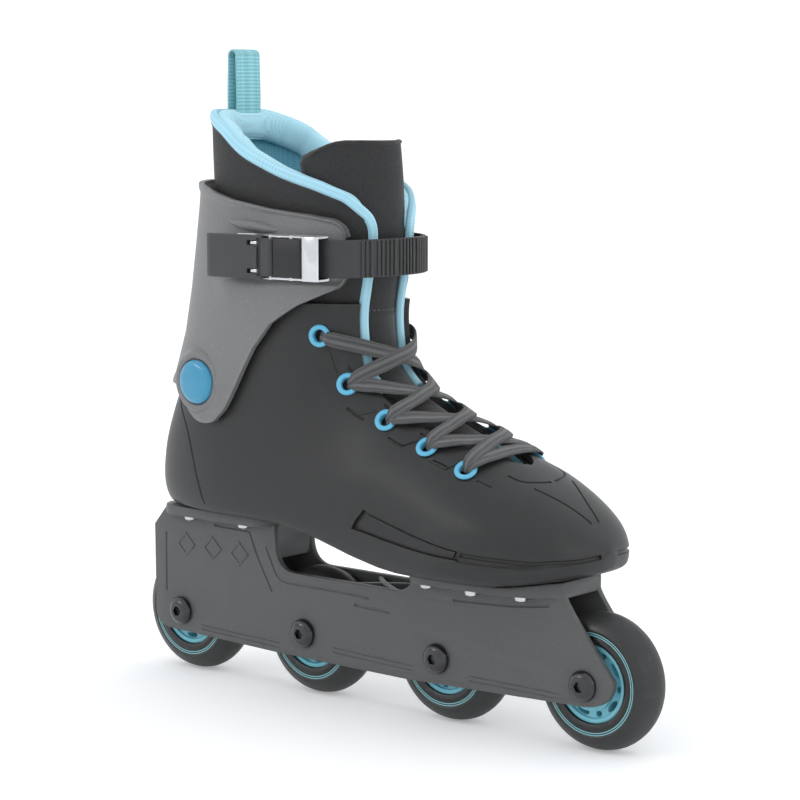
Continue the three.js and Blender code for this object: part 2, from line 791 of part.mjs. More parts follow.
piece(buckle, 'buckle_base', makeBase(), chrome);
piece(buckle, 'buckle_lever', makeLever(), blackPlastic);
piece(buckle, 'buckle_pawl', makePawl(), blackPlastic);
piece(buckle, 'pawl_spring', makeSpring(), steel);
const pinLength = halfBuckle + 0.2;
for (const [name, x] of [['lever_pin', 0], ['pawl_pin', pawlPinForward]]) {
  piece(buckle, name, rodZ(pinDiameter / 2, x, -leverPinHeight, -pinLength, pinLength, pinSides), steel);
}

// A button rivet or screw: its head outside, its shank through the sheet and the cuff.
function fastener(headRadius, shankRadius, headHeight, length) {
  return turned([[0, -length], [shankRadius, -length], [shankRadius, 0], [headRadius, 0],
    [headRadius - 1, headHeight], [0, headHeight]], 12);
}

const rivet = fastener(4, 2, 1, cuffWall + buckleSheet + gap);
rivet.rotateX(Math.PI);
rivet.translate(rivetX - buckle.position.x, -buckleSheet - 0.1, 0);
piece(buckle, 'buckle_rivet', rivet, steel);

// The ladder strap's line in plan, from its tail in the buckle round the shin to the inner side.
const strapDepth = buckleSheet + gap + strapThickness / 2;
const inBuckle = (x) => buckle.localToWorld(new THREE.Vector3(x, -strapDepth, 0)).setZ(buckleZ);
buckle.updateMatrixWorld();
const strapStand = gap + strapThickness / 2;
const onCuff = (x, y) => new THREE.Vector3(x * scaleX, y * scaleY + strapStand, buckleZ);
const roundShin = (x, y) => new THREE.Vector3(x * scaleX, y, buckleZ);
const strapLine = new THREE.CatmullRomCurve3([
  inBuckle(-18),
  inBuckle(0),
  inBuckle(18),
  inBuckle(baseFront),
  roundShin(3, -38.5),
  roundShin(8.6, -28),
  roundShin(11.4, -14),
  roundShin(11.8, 0),
  roundShin(10, 12.5),
  roundShin(5.5, 23),
  roundShin(-3, 31.5),
  roundShin(-13, 37.8),
  onCuff(-25, 41.2),
  onCuff(-44, 43),
  onCuff(-62, 43.2),
], false, 'catmullrom', 0.5);

function makeStrap() {
  const rings = [];
  const steps = 34;
  const up = new THREE.Vector3(0, 0, 1);
  for (let i = 0; i <= steps; i += 1) {
    const middle = strapLine.getPoint(i / steps);
    const outward = strapLine.getTangent(i / steps).cross(up).normalize();
    rings.push([[-1, -1], [1, -1], [1, 1], [-1, 1]].map(([a, b]) => middle.clone()
      .addScaledVector(outward, (a * strapThickness) / 2)
      .addScaledVector(up, (b * strapWidth) / 2)));
  }
  const hole = rodY(2.3, strapScrewX, buckleZ, 20, 70, 10);
  return geometryOf(solid(loft(rings)).subtract(solid(hole)));
}

piece(boot, 'ladder_strap', makeStrap(), blackPlastic);

const strapScrew = fastener(5, 2, 1.8, strapThickness + cuffWall + buckleSheet);
strapScrew.translate(strapScrewX, 43.2 * scaleY + strapStand + strapThickness / 2 + 0.15, buckleZ);
piece(boot, 'strap_screw', strapScrew, blackSteel);

// ---------------------------------------------------------------- frame

function platePath() {
  const second = rearAxleX + axlePitch;
  const third = second + axlePitch;
  const rearTop = frontDeckZ + heelLift;
  const plate = new THREE.Shape();
  plate.moveTo(rearAxleX - 9.5, rearTop);
  plate.lineTo(rearAxleX - 21.4, axleZ + 47.5);
  plate.lineTo(rearAxleX - 21, axleZ - 2.7);
  plate.quadraticCurveTo(rearAxleX - 20, axleZ - 10.5, rearAxleX - 10, axleZ - 11.5);
  plate.lineTo(second - 21.6, axleZ - 13.7);
  plate.lineTo(third - 22, axleZ - 14.4);
  plate.lineTo(frontAxleX, axleZ - 10.7);
  plate.quadraticCurveTo(frontAxleX + 18, axleZ - 9, frontAxleX + 17.8, axleZ + 4.1);
  plate.lineTo(frontAxleX - 1, axleZ + 27);
  plate.quadraticCurveTo(frontAxleX - 11, axleZ + 39, frontAxleX - 12.5, frontDeckZ - 1.8);
  plate.lineTo(frontAxleX - 12.5, frontDeckZ);
  plate.lineTo(third - 15.4, frontDeckZ);
  plate.quadraticCurveTo(third - 16, axleZ + 34, third - 27, axleZ + 32);
  plate.lineTo(second - 7.3, axleZ + 32);
  plate.quadraticCurveTo(second - 19, axleZ + 32.5, second - 20.4, axleZ + 44.2);
  plate.lineTo(second - 21.8, rearTop);
  return plate;
}

function deckRise(x) {
  return frontDeckZ + soleHeight(x) - gap;
}

function makeFrame() {
  const second = rearAxleX + axlePitch;
  const third = second + axlePitch;
  const rearTop = frontDeckZ + heelLift;
  const rearStart = rearAxleX - 9.5;
  const rearEnd = second - 21.8;
  const frontStart = third - 15.4;
  const frontEnd = frontAxleX - 12.5;
  const parts = [
    sideProfile(platePath(), plateInside, plateOutside),
    sideProfile(platePath(), -plateOutside, -plateInside),
  ];
  const rearPlan = [
    [rearStart, -plateOutside],
    [rearStart + 14, -rearDeckHalfWidth],
    [rearEnd - 10, -rearDeckHalfWidth],
    [rearEnd, -plateOutside],
  ];
  const mirror = (points) => [...points, ...points.map(([x, y]) => [x, -y]).reverse()];
  parts.push(planProfile(mirror(rearPlan), rearTop - deckThickness, rearTop));
  parts.push(block(rearEnd - plateWall, rearEnd + 0.8, -plateInside - 1, plateInside + 1, axleZ + 38, rearTop));
  parts.push(block(rearStart - 2, rearStart + 1.6, -plateInside - 1, plateInside + 1, axleZ + 40, rearTop - 3));
  for (const side of [-1, 1]) {
    const reach = side * (plateInside + 0.5);
    const rib = new THREE.Shape();
    rib.moveTo(-ribReach, -reach);
    rib.quadraticCurveTo(-2, reach * 0.5, ribReach, reach);
    rib.lineTo(ribReach, reach - side * ribThickness);
    rib.quadraticCurveTo(2, reach * 0.4 - side * ribThickness, -ribReach + ribThickness, -reach);
    parts.push(planProfile(rib, axleZ + 22, axleZ + 31));
  }
  let frame = all(parts);
  const frontPlan = [
    [frontStart, -plateOutside - 3],
    [frontStart + 16, -frontDeckHalfWidth],
    [frontEnd - 34, -frontDeckHalfWidth],
    [frontEnd - 8, -plateOutside - 2],
    [frontEnd, -plateOutside],
  ];
  const bend = 95 * scaleX;
  const top = [[frontStart, frontDeckZ], [Math.min(bend, frontEnd), deckRise(Math.min(bend, frontEnd))],
    [frontEnd, deckRise(frontEnd)]];
  const under = [[frontEnd, frontDeckZ - deckThickness + 2], [frontStart, frontDeckZ - deckThickness]];
  const deck = solid(sideProfile([...top, ...under], -60, 60))
    .intersect(solid(planProfile(mirror(frontPlan), 0, 200)));
  frame = frame.add(deck);
  const hole = axleDiameter / 2 + 0.25;
  for (let i = 0; i < wheelCount; i += 1) {
    frame = frame.subtract(solid(rodY(hole, rearAxleX + i * axlePitch, axleZ, -40, 40, 12)));
  }
  return geometryOf(frame);
}

piece(skate, 'frame', makeFrame(), framePlastic);

// ---------------------------------------------------------------- wheels

function makeWheel(number) {
  const wheel = new THREE.Group();
  wheel.position.set(rearAxleX + (number - 1) * axlePitch, 0, axleZ);
  skate.add(wheel);
  const half = wheelWidth / 2;
  const radius = wheelDiameter / 2;
  const seat = hubRimDiameter / 2;
  const halfRim = hubRimWidth / 2;
  const flat = [[seat + gap, half - 1.3], [radius * 0.77, half - 0.8], [radius * 0.89, half - 2.8],
    [radius * 0.965, half - 6.8]];
  const tyre = [...flat, [radius, 0], ...flat.map(([r, h]) => [r, -h]).reverse(), flat[0]];
  piece(wheel, `tyre_${number}`, turned(tyre, 20), urethane);

  const pocket = bearingDiameter / 2 + 0.25;
  const bearingIn = spacerLength / 2 + gap;
  const bearingOut = bearingIn + bearingWidth;
  const boss = bearingDiameter / 2 + 2.6;
  const lip = bearingOut - 0.8;
  const sideLine = [[seat, halfRim], [seat - 2.4, halfRim], [boss, halfRim - 4], [boss, lip], [pocket, lip],
    [pocket, bearingIn - gap], [pocket - 2, bearingIn - gap]];
  const hub = [...sideLine, ...sideLine.map(([r, h]) => [r, -h]).reverse(), sideLine[0]];
  piece(wheel, `hub_${number}`, turned(hub, 16), blueHub);

  for (const [label, side] of sides) {
    const near = side * bearingIn;
    const far = side * bearingOut;
    const [low, high] = [Math.min(near, far), Math.max(near, far)];
    const bore = bearingBore / 2 / Math.cos(Math.PI / 16);
    const outer = bearingDiameter / 2;
    const race = [[bore, low], [outer, low], [outer, high], [bore, high], [bore, low]];
    piece(wheel, `bearing_${label}_${number}`, turned(race, 16), steel);
  }
  const [inner, outer] = [bearingBore / 2, spacerDiameter / 2];
  const reach = spacerLength / 2;
  const tube = [[inner, -reach], [outer, -reach], [outer, reach], [inner, reach], [inner, -reach]];
  piece(wheel, `spacer_${number}`, turned(tube, 10), steel);

  const face = plateOutside + gap;
  const shank = axleDiameter / 2;
  const head = boltHeadDiameter / 2;
  const top = face + boltHeadHeight;
  const dome = [[head, face], [head - 1, face + boltHeadHeight * 0.6], [head * 0.55, top], [0, top]];
  const bolt = solid(turned([[0, -face - 2.2], [shank, -face - 2.2], [shank, face], ...dome], 10));
  const socket = rodY(socketSize / 2 / Math.cos(Math.PI / 6), 0, 0, face + 1.2, face + 9, 6);
  const boltGeometry = geometryOf(bolt.subtract(solid(socket)));
  boltGeometry.rotateX(Math.PI);
  piece(wheel, `axle_bolt_${number}`, boltGeometry, blackSteel);
  const thread = shank + gap;
  const socketEnd = face + 2.6;
  const nut = turned([[thread, face], ...dome, [0, socketEnd], [thread, socketEnd], [thread, face]], 10);
  piece(wheel, `axle_nut_${number}`, nut, blackSteel);
}

for (let number = 1; number <= wheelCount; number += 1) makeWheel(number);

export default skate;
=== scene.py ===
import math

import bpy
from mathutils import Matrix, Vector


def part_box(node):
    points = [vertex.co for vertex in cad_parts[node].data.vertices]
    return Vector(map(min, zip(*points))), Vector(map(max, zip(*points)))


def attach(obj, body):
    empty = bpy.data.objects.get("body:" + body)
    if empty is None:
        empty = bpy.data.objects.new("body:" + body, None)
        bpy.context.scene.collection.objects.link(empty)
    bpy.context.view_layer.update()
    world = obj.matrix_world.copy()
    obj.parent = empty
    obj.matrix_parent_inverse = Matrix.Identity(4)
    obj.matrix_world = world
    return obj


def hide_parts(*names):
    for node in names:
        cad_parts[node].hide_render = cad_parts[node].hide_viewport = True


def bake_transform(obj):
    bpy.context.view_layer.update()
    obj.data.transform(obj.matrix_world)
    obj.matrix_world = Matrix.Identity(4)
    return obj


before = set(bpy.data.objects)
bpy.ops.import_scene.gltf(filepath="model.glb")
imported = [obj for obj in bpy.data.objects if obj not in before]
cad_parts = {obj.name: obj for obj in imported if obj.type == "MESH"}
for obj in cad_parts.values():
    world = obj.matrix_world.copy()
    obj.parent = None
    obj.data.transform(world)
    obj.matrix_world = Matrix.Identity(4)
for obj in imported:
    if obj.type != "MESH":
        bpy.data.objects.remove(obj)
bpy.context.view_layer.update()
scene = bpy.context.scene
print("frame loaded:", len(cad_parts), "nodes")

# Millimetres in the tables below; every mesh is written in metres.
mm = 0.001
deckZ = 80  # the boot's own heights start at the front deck


# helpers for making pieces

def onlySelect(piece):
    bpy.ops.object.select_all(action="DESELECT")
    piece.select_set(True)
    bpy.context.view_layer.objects.active = piece


def applyModifier(piece, kind, **settings):
    onlySelect(piece)
    modifier = piece.modifiers.new(kind.title(), kind)
    for key, value in settings.items():
        setattr(modifier, key, value)
    bpy.ops.object.modifier_apply(modifier=modifier.name)
    return piece


def closeMesh(piece, fill=True, merge=True):
    onlySelect(piece)
    bpy.ops.object.mode_set(mode="EDIT")
    if merge:
        bpy.ops.mesh.select_all(action="SELECT")
        bpy.ops.mesh.remove_doubles(threshold=2e-6)
    if fill:
        bpy.ops.mesh.select_all(action="SELECT")
        bpy.ops.mesh.fill_holes(sides=0)
    bpy.ops.mesh.select_all(action="SELECT")
    bpy.ops.mesh.normals_make_consistent(inside=False)
    bpy.ops.object.mode_set(mode="OBJECT")
    return piece


# a grid whose points are set by their share across and along
def formedGrid(name, across, along, place):
    bpy.ops.object.select_all(action="DESELECT")
    bpy.ops.mesh.primitive_grid_add(x_subdivisions=across, y_subdivisions=along, size=2, calc_uvs=True)
    piece = bpy.context.object
    piece.name = name
    for vertex in piece.data.vertices:
        vertex.co = Vector(place((vertex.co.x + 1) / 2, (vertex.co.y + 1) / 2)) * mm
    return piece


def turned(name, profile, centre=(0, 0, 0), axis=(0, 1, 0), segments=64):
    axis = Vector(axis).normalized()
    first = axis.cross(Vector((0.3, 0.1, 1))).normalized()
    second = axis.cross(first)
    last = len(profile) - 1

    def place(u, v):
        radius, height = profile[round(v * last)]
        angle = 2 * math.pi * (u % 1)
        return Vector(centre) + axis * height + (first * math.cos(angle) + second * math.sin(angle)) * radius

    return closeMesh(formedGrid(name, segments, last, place))


# rings along a line, each with its own middle, sideways and upward direction
def swept(name, line, ups, section, around=12):
    line = [Vector(p) for p in line]
    last = len(line) - 1
    rings = []
    for i, point in enumerate(line):
        forward = (line[min(i + 1, last)] - line[max(i - 1, 0)]).normalized()
        up = Vector(ups[i] if isinstance(ups, list) else ups)
        up = (up - forward * up.dot(forward)).normalized()
        rings.append((point, forward.cross(up), up))

    def place(u, v):
        point, sideways, up = rings[round(v * last)]
        a, b = section(u % 1, v)
        return point + sideways * a + up * b

    return closeMesh(formedGrid(name, around, last, place))


def roundSection(radius):
    return lambda u, v: (radius * math.cos(2 * math.pi * u), radius * math.sin(2 * math.pi * u))


def flatSection(halfWidth, halfThickness, square=5):
    def section(u, v):
        c, s = math.cos(2 * math.pi * u), math.sin(2 * math.pi * u)
        return (halfWidth * math.copysign(abs(c) ** (2 / square), c),
                halfThickness * math.copysign(abs(s) ** (2 / square), s))
    return section


# an outline given a depth: corners are set with at(a, b), and the depth runs along the vector
def prism(name, outline, at, depth):
    bpy.ops.object.select_all(action="DESELECT")
    bpy.ops.mesh.primitive_circle_add(vertices=len(outline), radius=1, fill_type="NGON")
    piece = bpy.context.object
    piece.name = name
    for vertex, corner in zip(piece.data.vertices, outline):
        vertex.co = Vector(at(*corner)) * mm
    bpy.ops.object.mode_set(mode="EDIT")
    bpy.ops.mesh.select_all(action="SELECT")
    bpy.ops.mesh.extrude_region_move(TRANSFORM_OT_translate={"value": Vector(depth) * mm})
    bpy.ops.mesh.select_all(action="SELECT")
    bpy.ops.mesh.normals_make_consistent(inside=False)
    bpy.ops.object.mode_set(mode="OBJECT")
    return piece


def join(name, pieces):
    bpy.ops.object.select_all(action="DESELECT")
    for piece in pieces:
        piece.select_set(True)
    bpy.context.view_layer.objects.active = pieces[0]
    if len(pieces) > 1:
        bpy.ops.object.join()
    pieces[0].name = name
    return pieces[0]


def combine(piece, others, operation="DIFFERENCE"):
    for other in others:
        applyModifier(piece, "BOOLEAN", object=other, operation=operation, solver="MANIFOLD")
        bpy.data.objects.remove(other)
    return piece


def rounded(piece, width, segments=2, angle=35):  # width in millimetres, angle in degrees
    return applyModifier(piece, "BEVEL", width=width * mm, segments=segments, limit_method="ANGLE",
                         angle_limit=math.radians(angle), use_clamp_overlap=True, harden_normals=False)


# gives a skin its thickness, and rounds its edges if asked
def thickened(piece, thickness, offset, *rounding):
    applyModifier(piece, "SOLIDIFY", thickness=thickness * mm, offset=offset, use_rim=True)
    if rounding:
        rounded(piece, *rounding)
    return closeMesh(piece, fill=False, merge=False)


def hexagon(size):
    return [(size * math.cos(k * math.pi / 3), size * math.sin(k * math.pi / 3)) for k in range(6)]


def copyOf(piece, name, change):
    twin = piece.copy()
    twin.data = piece.data.copy()
    twin.name = name
    scene.collection.objects.link(twin)
    for vertex in twin.data.vertices:
        vertex.co = change(vertex.co.copy())
    return twin


def finish(piece, material, body, slot, *nodes, smooth=32):
    onlySelect(piece)
    if smooth:
        bpy.ops.object.shade_smooth_by_angle(angle=math.radians(smooth))
    piece.data.materials.clear()
    for one in material if isinstance(material, list) else [material]:
        piece.data.materials.append(one)
    for face in piece.data.polygons:
        face.material_index = 0
    if body:
        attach(piece, body)
    if nodes:
        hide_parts(*nodes)
    return piece


def smoothstep(low, high, x):
    t = min(1, max(0, (x - low) / (high - low)))
    return t * t * (3 - 2 * t)


# the smooth curve between b and c, with a before and d after them
def spline(a, b, c, d, u):
    return 0.5 * (2 * b + (c - a) * u + (2 * a - 5 * b + 4 * c - d) * u * u + (3 * b - a - 3 * c + d) * u ** 3)


def curveThrough(points, steps):
    points = [Vector(p) for p in points]
    last = len(points) - 1
    line = []
    for k in range(steps + 1):
        t = k / steps * last
        i = min(int(t), last - 1)
        u = t - i
        line.append(spline(*(points[min(max(i + j, 0), last)] for j in (-1, 0, 1, 2)), u))
    return line


def eased(line, rounds=6):
    for _ in range(rounds):
        line = [line[0]] + [(a + b * 2 + c) / 4 for a, b, c in zip(line, line[1:], line[2:])] + [line[-1]]
    return line


# the value between low and high up to which the test holds
def settle(low, high, holds, rounds=22):
    for _ in range(rounds):
        middle = (low + high) / 2
        low, high = (middle, high) if holds(middle) else (low, middle)
    return low


def between(table, x):
    if x <= table[0][0]:
        return table[0][1]
    for (a, p), (b, q) in zip(table, table[1:]):
        if x <= b:
            return p + (q - p) * (x - a) / (b - a)
    return table[-1][1]


# materials

class Wire:
    def __init__(self, finishOf, socket):
        self.finish, self.socket = finishOf, socket

    def __add__(self, other): return self.finish.maths("ADD", self, other)
    def __radd__(self, other): return self.finish.maths("ADD", other, self)
    def __sub__(self, other): return self.finish.maths("SUBTRACT", self, other)
    def __rsub__(self, other): return self.finish.maths("SUBTRACT", other, self)
    def __mul__(self, other): return self.finish.maths("MULTIPLY", self, other)
    def __rmul__(self, other): return self.finish.maths("MULTIPLY", other, self)


class Finish:
    def __init__(self, name, colour, roughness, **constants):
        self.material = bpy.data.materials.new(name)
        self.material.use_nodes = True
        self.tree = self.material.node_tree
        self.surface = self.tree.nodes["Principled BSDF"]
        self.surface.inputs["Base Color"].default_value = (*colour, 1)
        self.surface.inputs["Roughness"].default_value = roughness
        for key, value in constants.items():
            self.surface.inputs[key.replace("_", " ")].default_value = value
        self.place = self.node("TexCoord")["Object"]

    def node(self, kind, settings=None, **sockets):
        made = self.tree.nodes.new("ShaderNode" + kind)
        for key, value in (settings or {}).items():
            setattr(made, key, value)
        for key, value in sockets.items():
            key = key.replace("_", " ")
            socket = made.inputs[int(key[1:])] if key[0] == "n" and key[1:].isdigit() else made.inputs[key]
            if isinstance(value, Wire):
                self.tree.links.new(value.socket, socket)
            else:
                socket.default_value = value
        return {out.name: Wire(self, out) for out in made.outputs if out.enabled}

    def maths(self, operation, a, b=0.0):
        return self.node("Math", {"operation": operation}, n0=a, n1=b)["Value"]

    def uv(self):
        return self.node("UVMap", {"uv_map": "UVMap"})["UV"]

    def split(self, vector):
        parts = self.node("SeparateXYZ", Vector=vector)
        return parts["X"], parts["Y"], parts["Z"]

    def noise(self, scale, detail=3.0, vector=None, roughness=0.55):
        return self.node("TexNoise", Vector=vector or self.place, Scale=scale, Detail=detail, Roughness=roughness)["Fac"]

    def cells(self, scale, feature="F1"):
        return self.node("TexVoronoi", {"feature": feature}, Vector=self.place, Scale=scale)["Distance"]

    def stretched(self, scale):
        return self.node("Mapping", Vector=self.place, Scale=scale)["Vector"]

    def steps(self, value, low, high):
        return self.node("MapRange", {"interpolation_type": "SMOOTHSTEP"}, Value=value, From_Min=low, From_Max=high)["Result"]

    def mix(self, share, a, b):
        made = self.tree.nodes.new("ShaderNodeMix")
        made.data_type = "RGBA"
        for index, value in ((0, share), (6, a), (7, b)):
            if isinstance(value, Wire):
                self.tree.links.new(value.socket, made.inputs[index])
            else:
                made.inputs[index].default_value = (*value, 1) if isinstance(value, tuple) else value
        return Wire(self, made.outputs[2])

    def wave(self, value, turns):
        return self.maths("SINE", value * (2 * math.pi * turns)) * 0.5 + 0.5

    def colour(self, wire):
        self.tree.links.new(wire.socket, self.surface.inputs["Base Color"])

    def rough(self, wire):
        self.tree.links.new(wire.socket, self.surface.inputs["Roughness"])

    def bump(self, height, distance, strength=1.0):
        made = self.node("Bump", Height=height, Distance=distance * mm, Strength=strength)
        self.tree.links.new(made["Normal"].socket, self.surface.inputs["Normal"])


def shade(colour, factor):
    return tuple(c * factor for c in colour)


def mouldedPlastic(name, colour, roughness, grain, depth, scuff=0.2, fleck=0.1):
    look = Finish(name, colour, roughness, Specular_IOR_Level=0.32)
    pebbles = look.cells(1000 / grain)
    broad = look.noise(14, 4)
    scratches = look.steps(look.noise(9, 6, look.stretched((3, 3, 60)), 0.7), 0.62, 0.75)
    dust = look.steps(look.noise(900, 2), 0.55, 0.75)
    tone = look.mix(broad, shade(colour, 0.88), shade(colour, 1.1))
    tone = look.mix(dust * fleck, tone, shade(colour, 1.9))
    look.colour(look.mix(scratches * scuff, tone, shade(colour, 1.5)))
    look.rough(broad * 0.08 + (roughness - 0.04) + scratches * 0.06)
    look.bump(pebbles + look.noise(1600, 2) * 0.5, depth)
    return look.material


def leather(name, colour, roughness, grain, depth):
    look = Finish(name, colour, roughness, Specular_IOR_Level=0.3)
    creases = look.cells(1000 / grain, "DISTANCE_TO_EDGE")
    grainy = look.steps(creases, 0.0, 0.18)
    folds = look.noise(45, 4)
    look.colour(look.mix(grainy * 0.75 + folds * 0.25, shade(colour, 0.6), shade(colour, 1.15)))
    look.rough(roughness + 0.1 - grainy * 0.12 + folds * 0.06)
    look.bump(grainy + folds * 0.8, depth)
    return look.material


clothRoughness = 0.85


# a knit with round openings, on object coordinates in the given plane
def knit(name, colour, pitch, depth, axes=("X", "Z"), dark=0.5):
    look = Finish(name, colour, clothRoughness, Sheen_Weight=0.25, Sheen_Roughness=0.5)
    parts = dict(zip("XYZ", look.split(look.place)))
    a = look.wave(parts[axes[0]], 1 / (pitch * mm))
    b = look.wave(parts[axes[1]], 1 / (pitch * mm))
    holes = look.steps(a * b, 0.45, 0.85)
    threads = look.noise(1500, 2)
    shades = look.noise(30, 3)
    look.colour(look.mix(holes, look.mix(shades, shade(colour, 0.9), shade(colour, 1.08)), shade(colour, dark)))
    look.bump((1 - holes) * 0.8 + threads * 0.3, depth)
    return look.material


# threads that follow the piece's own map: counts are across and along the whole piece
def woven(name, colour, across, along, depth, low=0.55, ribs=0.0, warpShare=0.55):
    look = Finish(name, colour, clothRoughness, Sheen_Weight=0.2, Sheen_Roughness=0.5)
    u, v, _ = look.split(look.uv())
    warp = look.wave(u, across)
    weft = look.wave(v + u * ribs, along)
    cloth = warp * warpShare + weft * (1 - warpShare)
    fuzz = look.noise(2200, 2)
    broad = look.noise(60, 3)
    look.colour(look.mix(cloth * 0.8 + fuzz * 0.2, shade(colour, low), look.mix(broad, shade(colour, 1.0), shade(colour, 1.2))))
    look.bump(cloth + fuzz * 0.35, depth)
    return look.material


def metal(name, colour, roughness, brushed=(1, 1, 1), wear=0.3):
    look = Finish(name, colour, roughness, Metallic=1.0)
    lines = look.noise(700, 3, look.stretched(brushed))
    smears = look.noise(60, 4)
    look.colour(look.mix(lines * 0.5 + smears * 0.5, shade(colour, 1 - wear * 0.5), shade(colour, 1 + wear * 0.15)))
    look.rough(lines * roughness * 0.5 + smears * roughness * 0.6 + roughness * 0.45)
    look.bump(lines, 0.01, 0.6)
    return look.material


def glossPaint(name, colour, roughness, coat=0.5):
    look = Finish(name, colour, roughness, Coat_Weight=coat, Coat_Roughness=0.06)
    broad = look.noise(90, 3)
    specks = look.steps(look.noise(1400, 2), 0.66, 0.78)
    look.colour(look.mix(specks * 0.25, look.mix(broad, shade(colour, 0.9), shade(colour, 1.1)), shade(colour, 1.8)))
    look.rough(broad * 0.08 + roughness)
    look.bump(look.noise(350, 3), 0.015)
    return look.material


shellPlastic = mouldedPlastic("shellPlastic", (0.024, 0.024, 0.0243), 0.4, 0.9, 0.03, scuff=0.25)
cuffPlastic = mouldedPlastic("cuffPlastic", (0.18, 0.181, 0.182), 0.42, 0.8, 0.035, scuff=0.15, fleck=0.3)
framePlastic = mouldedPlastic("framePlastic", (0.092, 0.093, 0.094), 0.42, 0.9, 0.03, scuff=0.2, fleck=0.2)
blackPlastic = mouldedPlastic("blackPlastic", (0.02, 0.02, 0.021), 0.38, 0.7, 0.02)
strapPlastic = mouldedPlastic("strapPlastic", (0.042, 0.0425, 0.043), 0.42, 0.7, 0.02)
leverPlastic = mouldedPlastic("leverPlastic", (0.05, 0.051, 0.052), 0.35, 0.8, 0.025)
linerLeather = leather("linerLeather", (0.026, 0.026, 0.0265), 0.5, 1.1, 0.05)
tongueLeather = leather("tongueLeather", (0.024, 0.024, 0.0245), 0.5, 1.0, 0.05)
blackMesh = knit("blackMesh", (0.02, 0.02, 0.0205), 1.7, 0.15, ("Y", "Z"), 0.25)
collarKnit = knit("collarKnit", (0.46, 0.78, 0.9), 1.2, 0.12, dark=0.8)
liningKnit = knit("liningKnit", (0.22, 0.56, 0.7), 1.4, 0.15, ("Y", "Z"), 0.75)
insoleCloth = knit("insoleCloth", (0.12, 0.36, 0.48), 1.6, 0.2, ("X", "Y"))
stripBlue = woven("stripBlue", (0.4, 0.72, 0.86), 6, 420, 0.08, low=0.8)
webbingBlue = woven("webbingBlue", (0.32, 0.72, 0.8), 20, 62, 0.3, low=0.6, warpShare=0.35)
laceCloth = woven("laceCloth", (0.17, 0.17, 0.172), 12, 64, 0.5, low=0.14, ribs=2.0, warpShare=0.72)
bindingCloth = woven("bindingCloth", (0.03, 0.03, 0.031), 4, 160, 0.15)
threadGrey = woven("threadGrey", (0.09, 0.09, 0.092), 2, 6, 0.05)
blueGloss = glossPaint("blueGloss", (0.022, 0.26, 0.44), 0.18)
eyeletBlue = glossPaint("eyeletBlue", (0.1, 0.44, 0.66), 0.25, 0.3)
hubTeal = glossPaint("hubTeal", (0.17, 0.5, 0.6), 0.3, 0.2)
tealLine = glossPaint("tealLine", (0.22, 0.52, 0.56), 0.35, 0.1)
chrome = metal("chrome", (0.62, 0.63, 0.65), 0.12)
steel = metal("steel", (0.6, 0.61, 0.63), 0.26, (1, 12, 1))
blackSteel = glossPaint("blackSteel", (0.008, 0.008, 0.009), 0.12, 0.4)


# the boot's surface: front x, front z, rear x, rear z, half width, middle y, squareness

bootRows = [
    (4, 242, -117, 242, 40, 0, 2.6), (8.5, 200, -115, 200, 40, 0, 2.7), (9, 170, -113, 170, 39, 0, 2.7),
    (6, 148, -113, 148, 38, 0, 2.5), (4, 132, -119, 128, 37.5, 0, 2.35), (5, 117, -130, 102, 38, 0, 2.35),
    (9, 102, -144, 75, 38, 0, 2.4), (24, 90, -155, 46, 37.5, 0, 2.4), (40, 82, -155, 20, 38, 0, 2.4),
    (52, 77, -136, 2, 39.5, 0, 2.4), (64, 72, -88, -2, 41, 0, 2.4), (75, 67, -35, -9, 43, 0.5, 2.35),
    (86.5, 61.5, 10, -16, 46, 1.5, 2.3), (98, 55.5, 50, -18, 49.5, 2.8, 2.3), (109, 49, 84, -16, 47.5, 3, 2.3),
    (119.5, 41.5, 108, -12, 42, 4, 2.3), (129, 33.5, 124, -7, 33.5, 5, 2.3), (136, 25, 134, 0, 22, 5.5, 2.2),
    (139.5, 18, 138.5, 8, 5, 6, 2),
]
soleLine = [(-175, 16.6), (-46, 16.6), (-22, 12.8), (4, 5.6), (24, 1.5), (36, 0.3), (95, 0.3), (141, 7.5), (165, 12.3)]


def rowAt(place):
    i = max(0, min(int(place), len(bootRows) - 2))
    u = place - i
    rows = (bootRows[min(max(i + k, 0), len(bootRows) - 1)] for k in (-1, 0, 1, 2))
    return [spline(*four, u) for four in zip(*rows)]


# turn 0 is the front, pi the rear, and the inner side of the foot is positive
def bootPoint(place, turn, inset=0.0):
    fx, fz, rx, rz, half, middle, square = rowAt(place)
    trim = inset / math.hypot(fx - rx, fz - rz)
    c, s = math.cos(turn), math.sin(turn)
    share = trim + 0.5 * (1 - math.copysign(abs(c) ** (2 / square), c)) * (1 - 2 * trim)
    side = (half - inset) * math.copysign(abs(s) ** (2 / square), s)
    return Vector((fx + (rx - fx) * share, side + middle, fz + (rz - fz) * share + deckZ))


def bootNormal(place, turn):
    along = bootPoint(place + 0.02, turn) - bootPoint(place - 0.02, turn)
    around = bootPoint(place, turn + 0.02) - bootPoint(place, turn - 0.02)
    out = along.cross(around).normalized()
    fx, fz, rx, rz, _, middle, _ = rowAt(place)
    core = Vector(((fx + rx) / 2, middle, (fz + rz) / 2 + deckZ))
    return out if out.dot(bootPoint(place, turn) - core) > 0 else -out


throat = {"half": 20, "end": 12.5, "taper": 2.4}


def throatTurn(place, side, margin):
    reach = min(1, math.sqrt(max(0, (throat["end"] - place) / throat["taper"])))
    half = max(0, throat["half"] * reach - margin)
    _, _, _, _, halfWidth, middle, square = rowAt(place)
    drift = middle * smoothstep(9, throat["end"], place) * side
    return math.asin(min(1, max(0, (half + drift - side * middle)) / halfWidth) ** (square / 2))


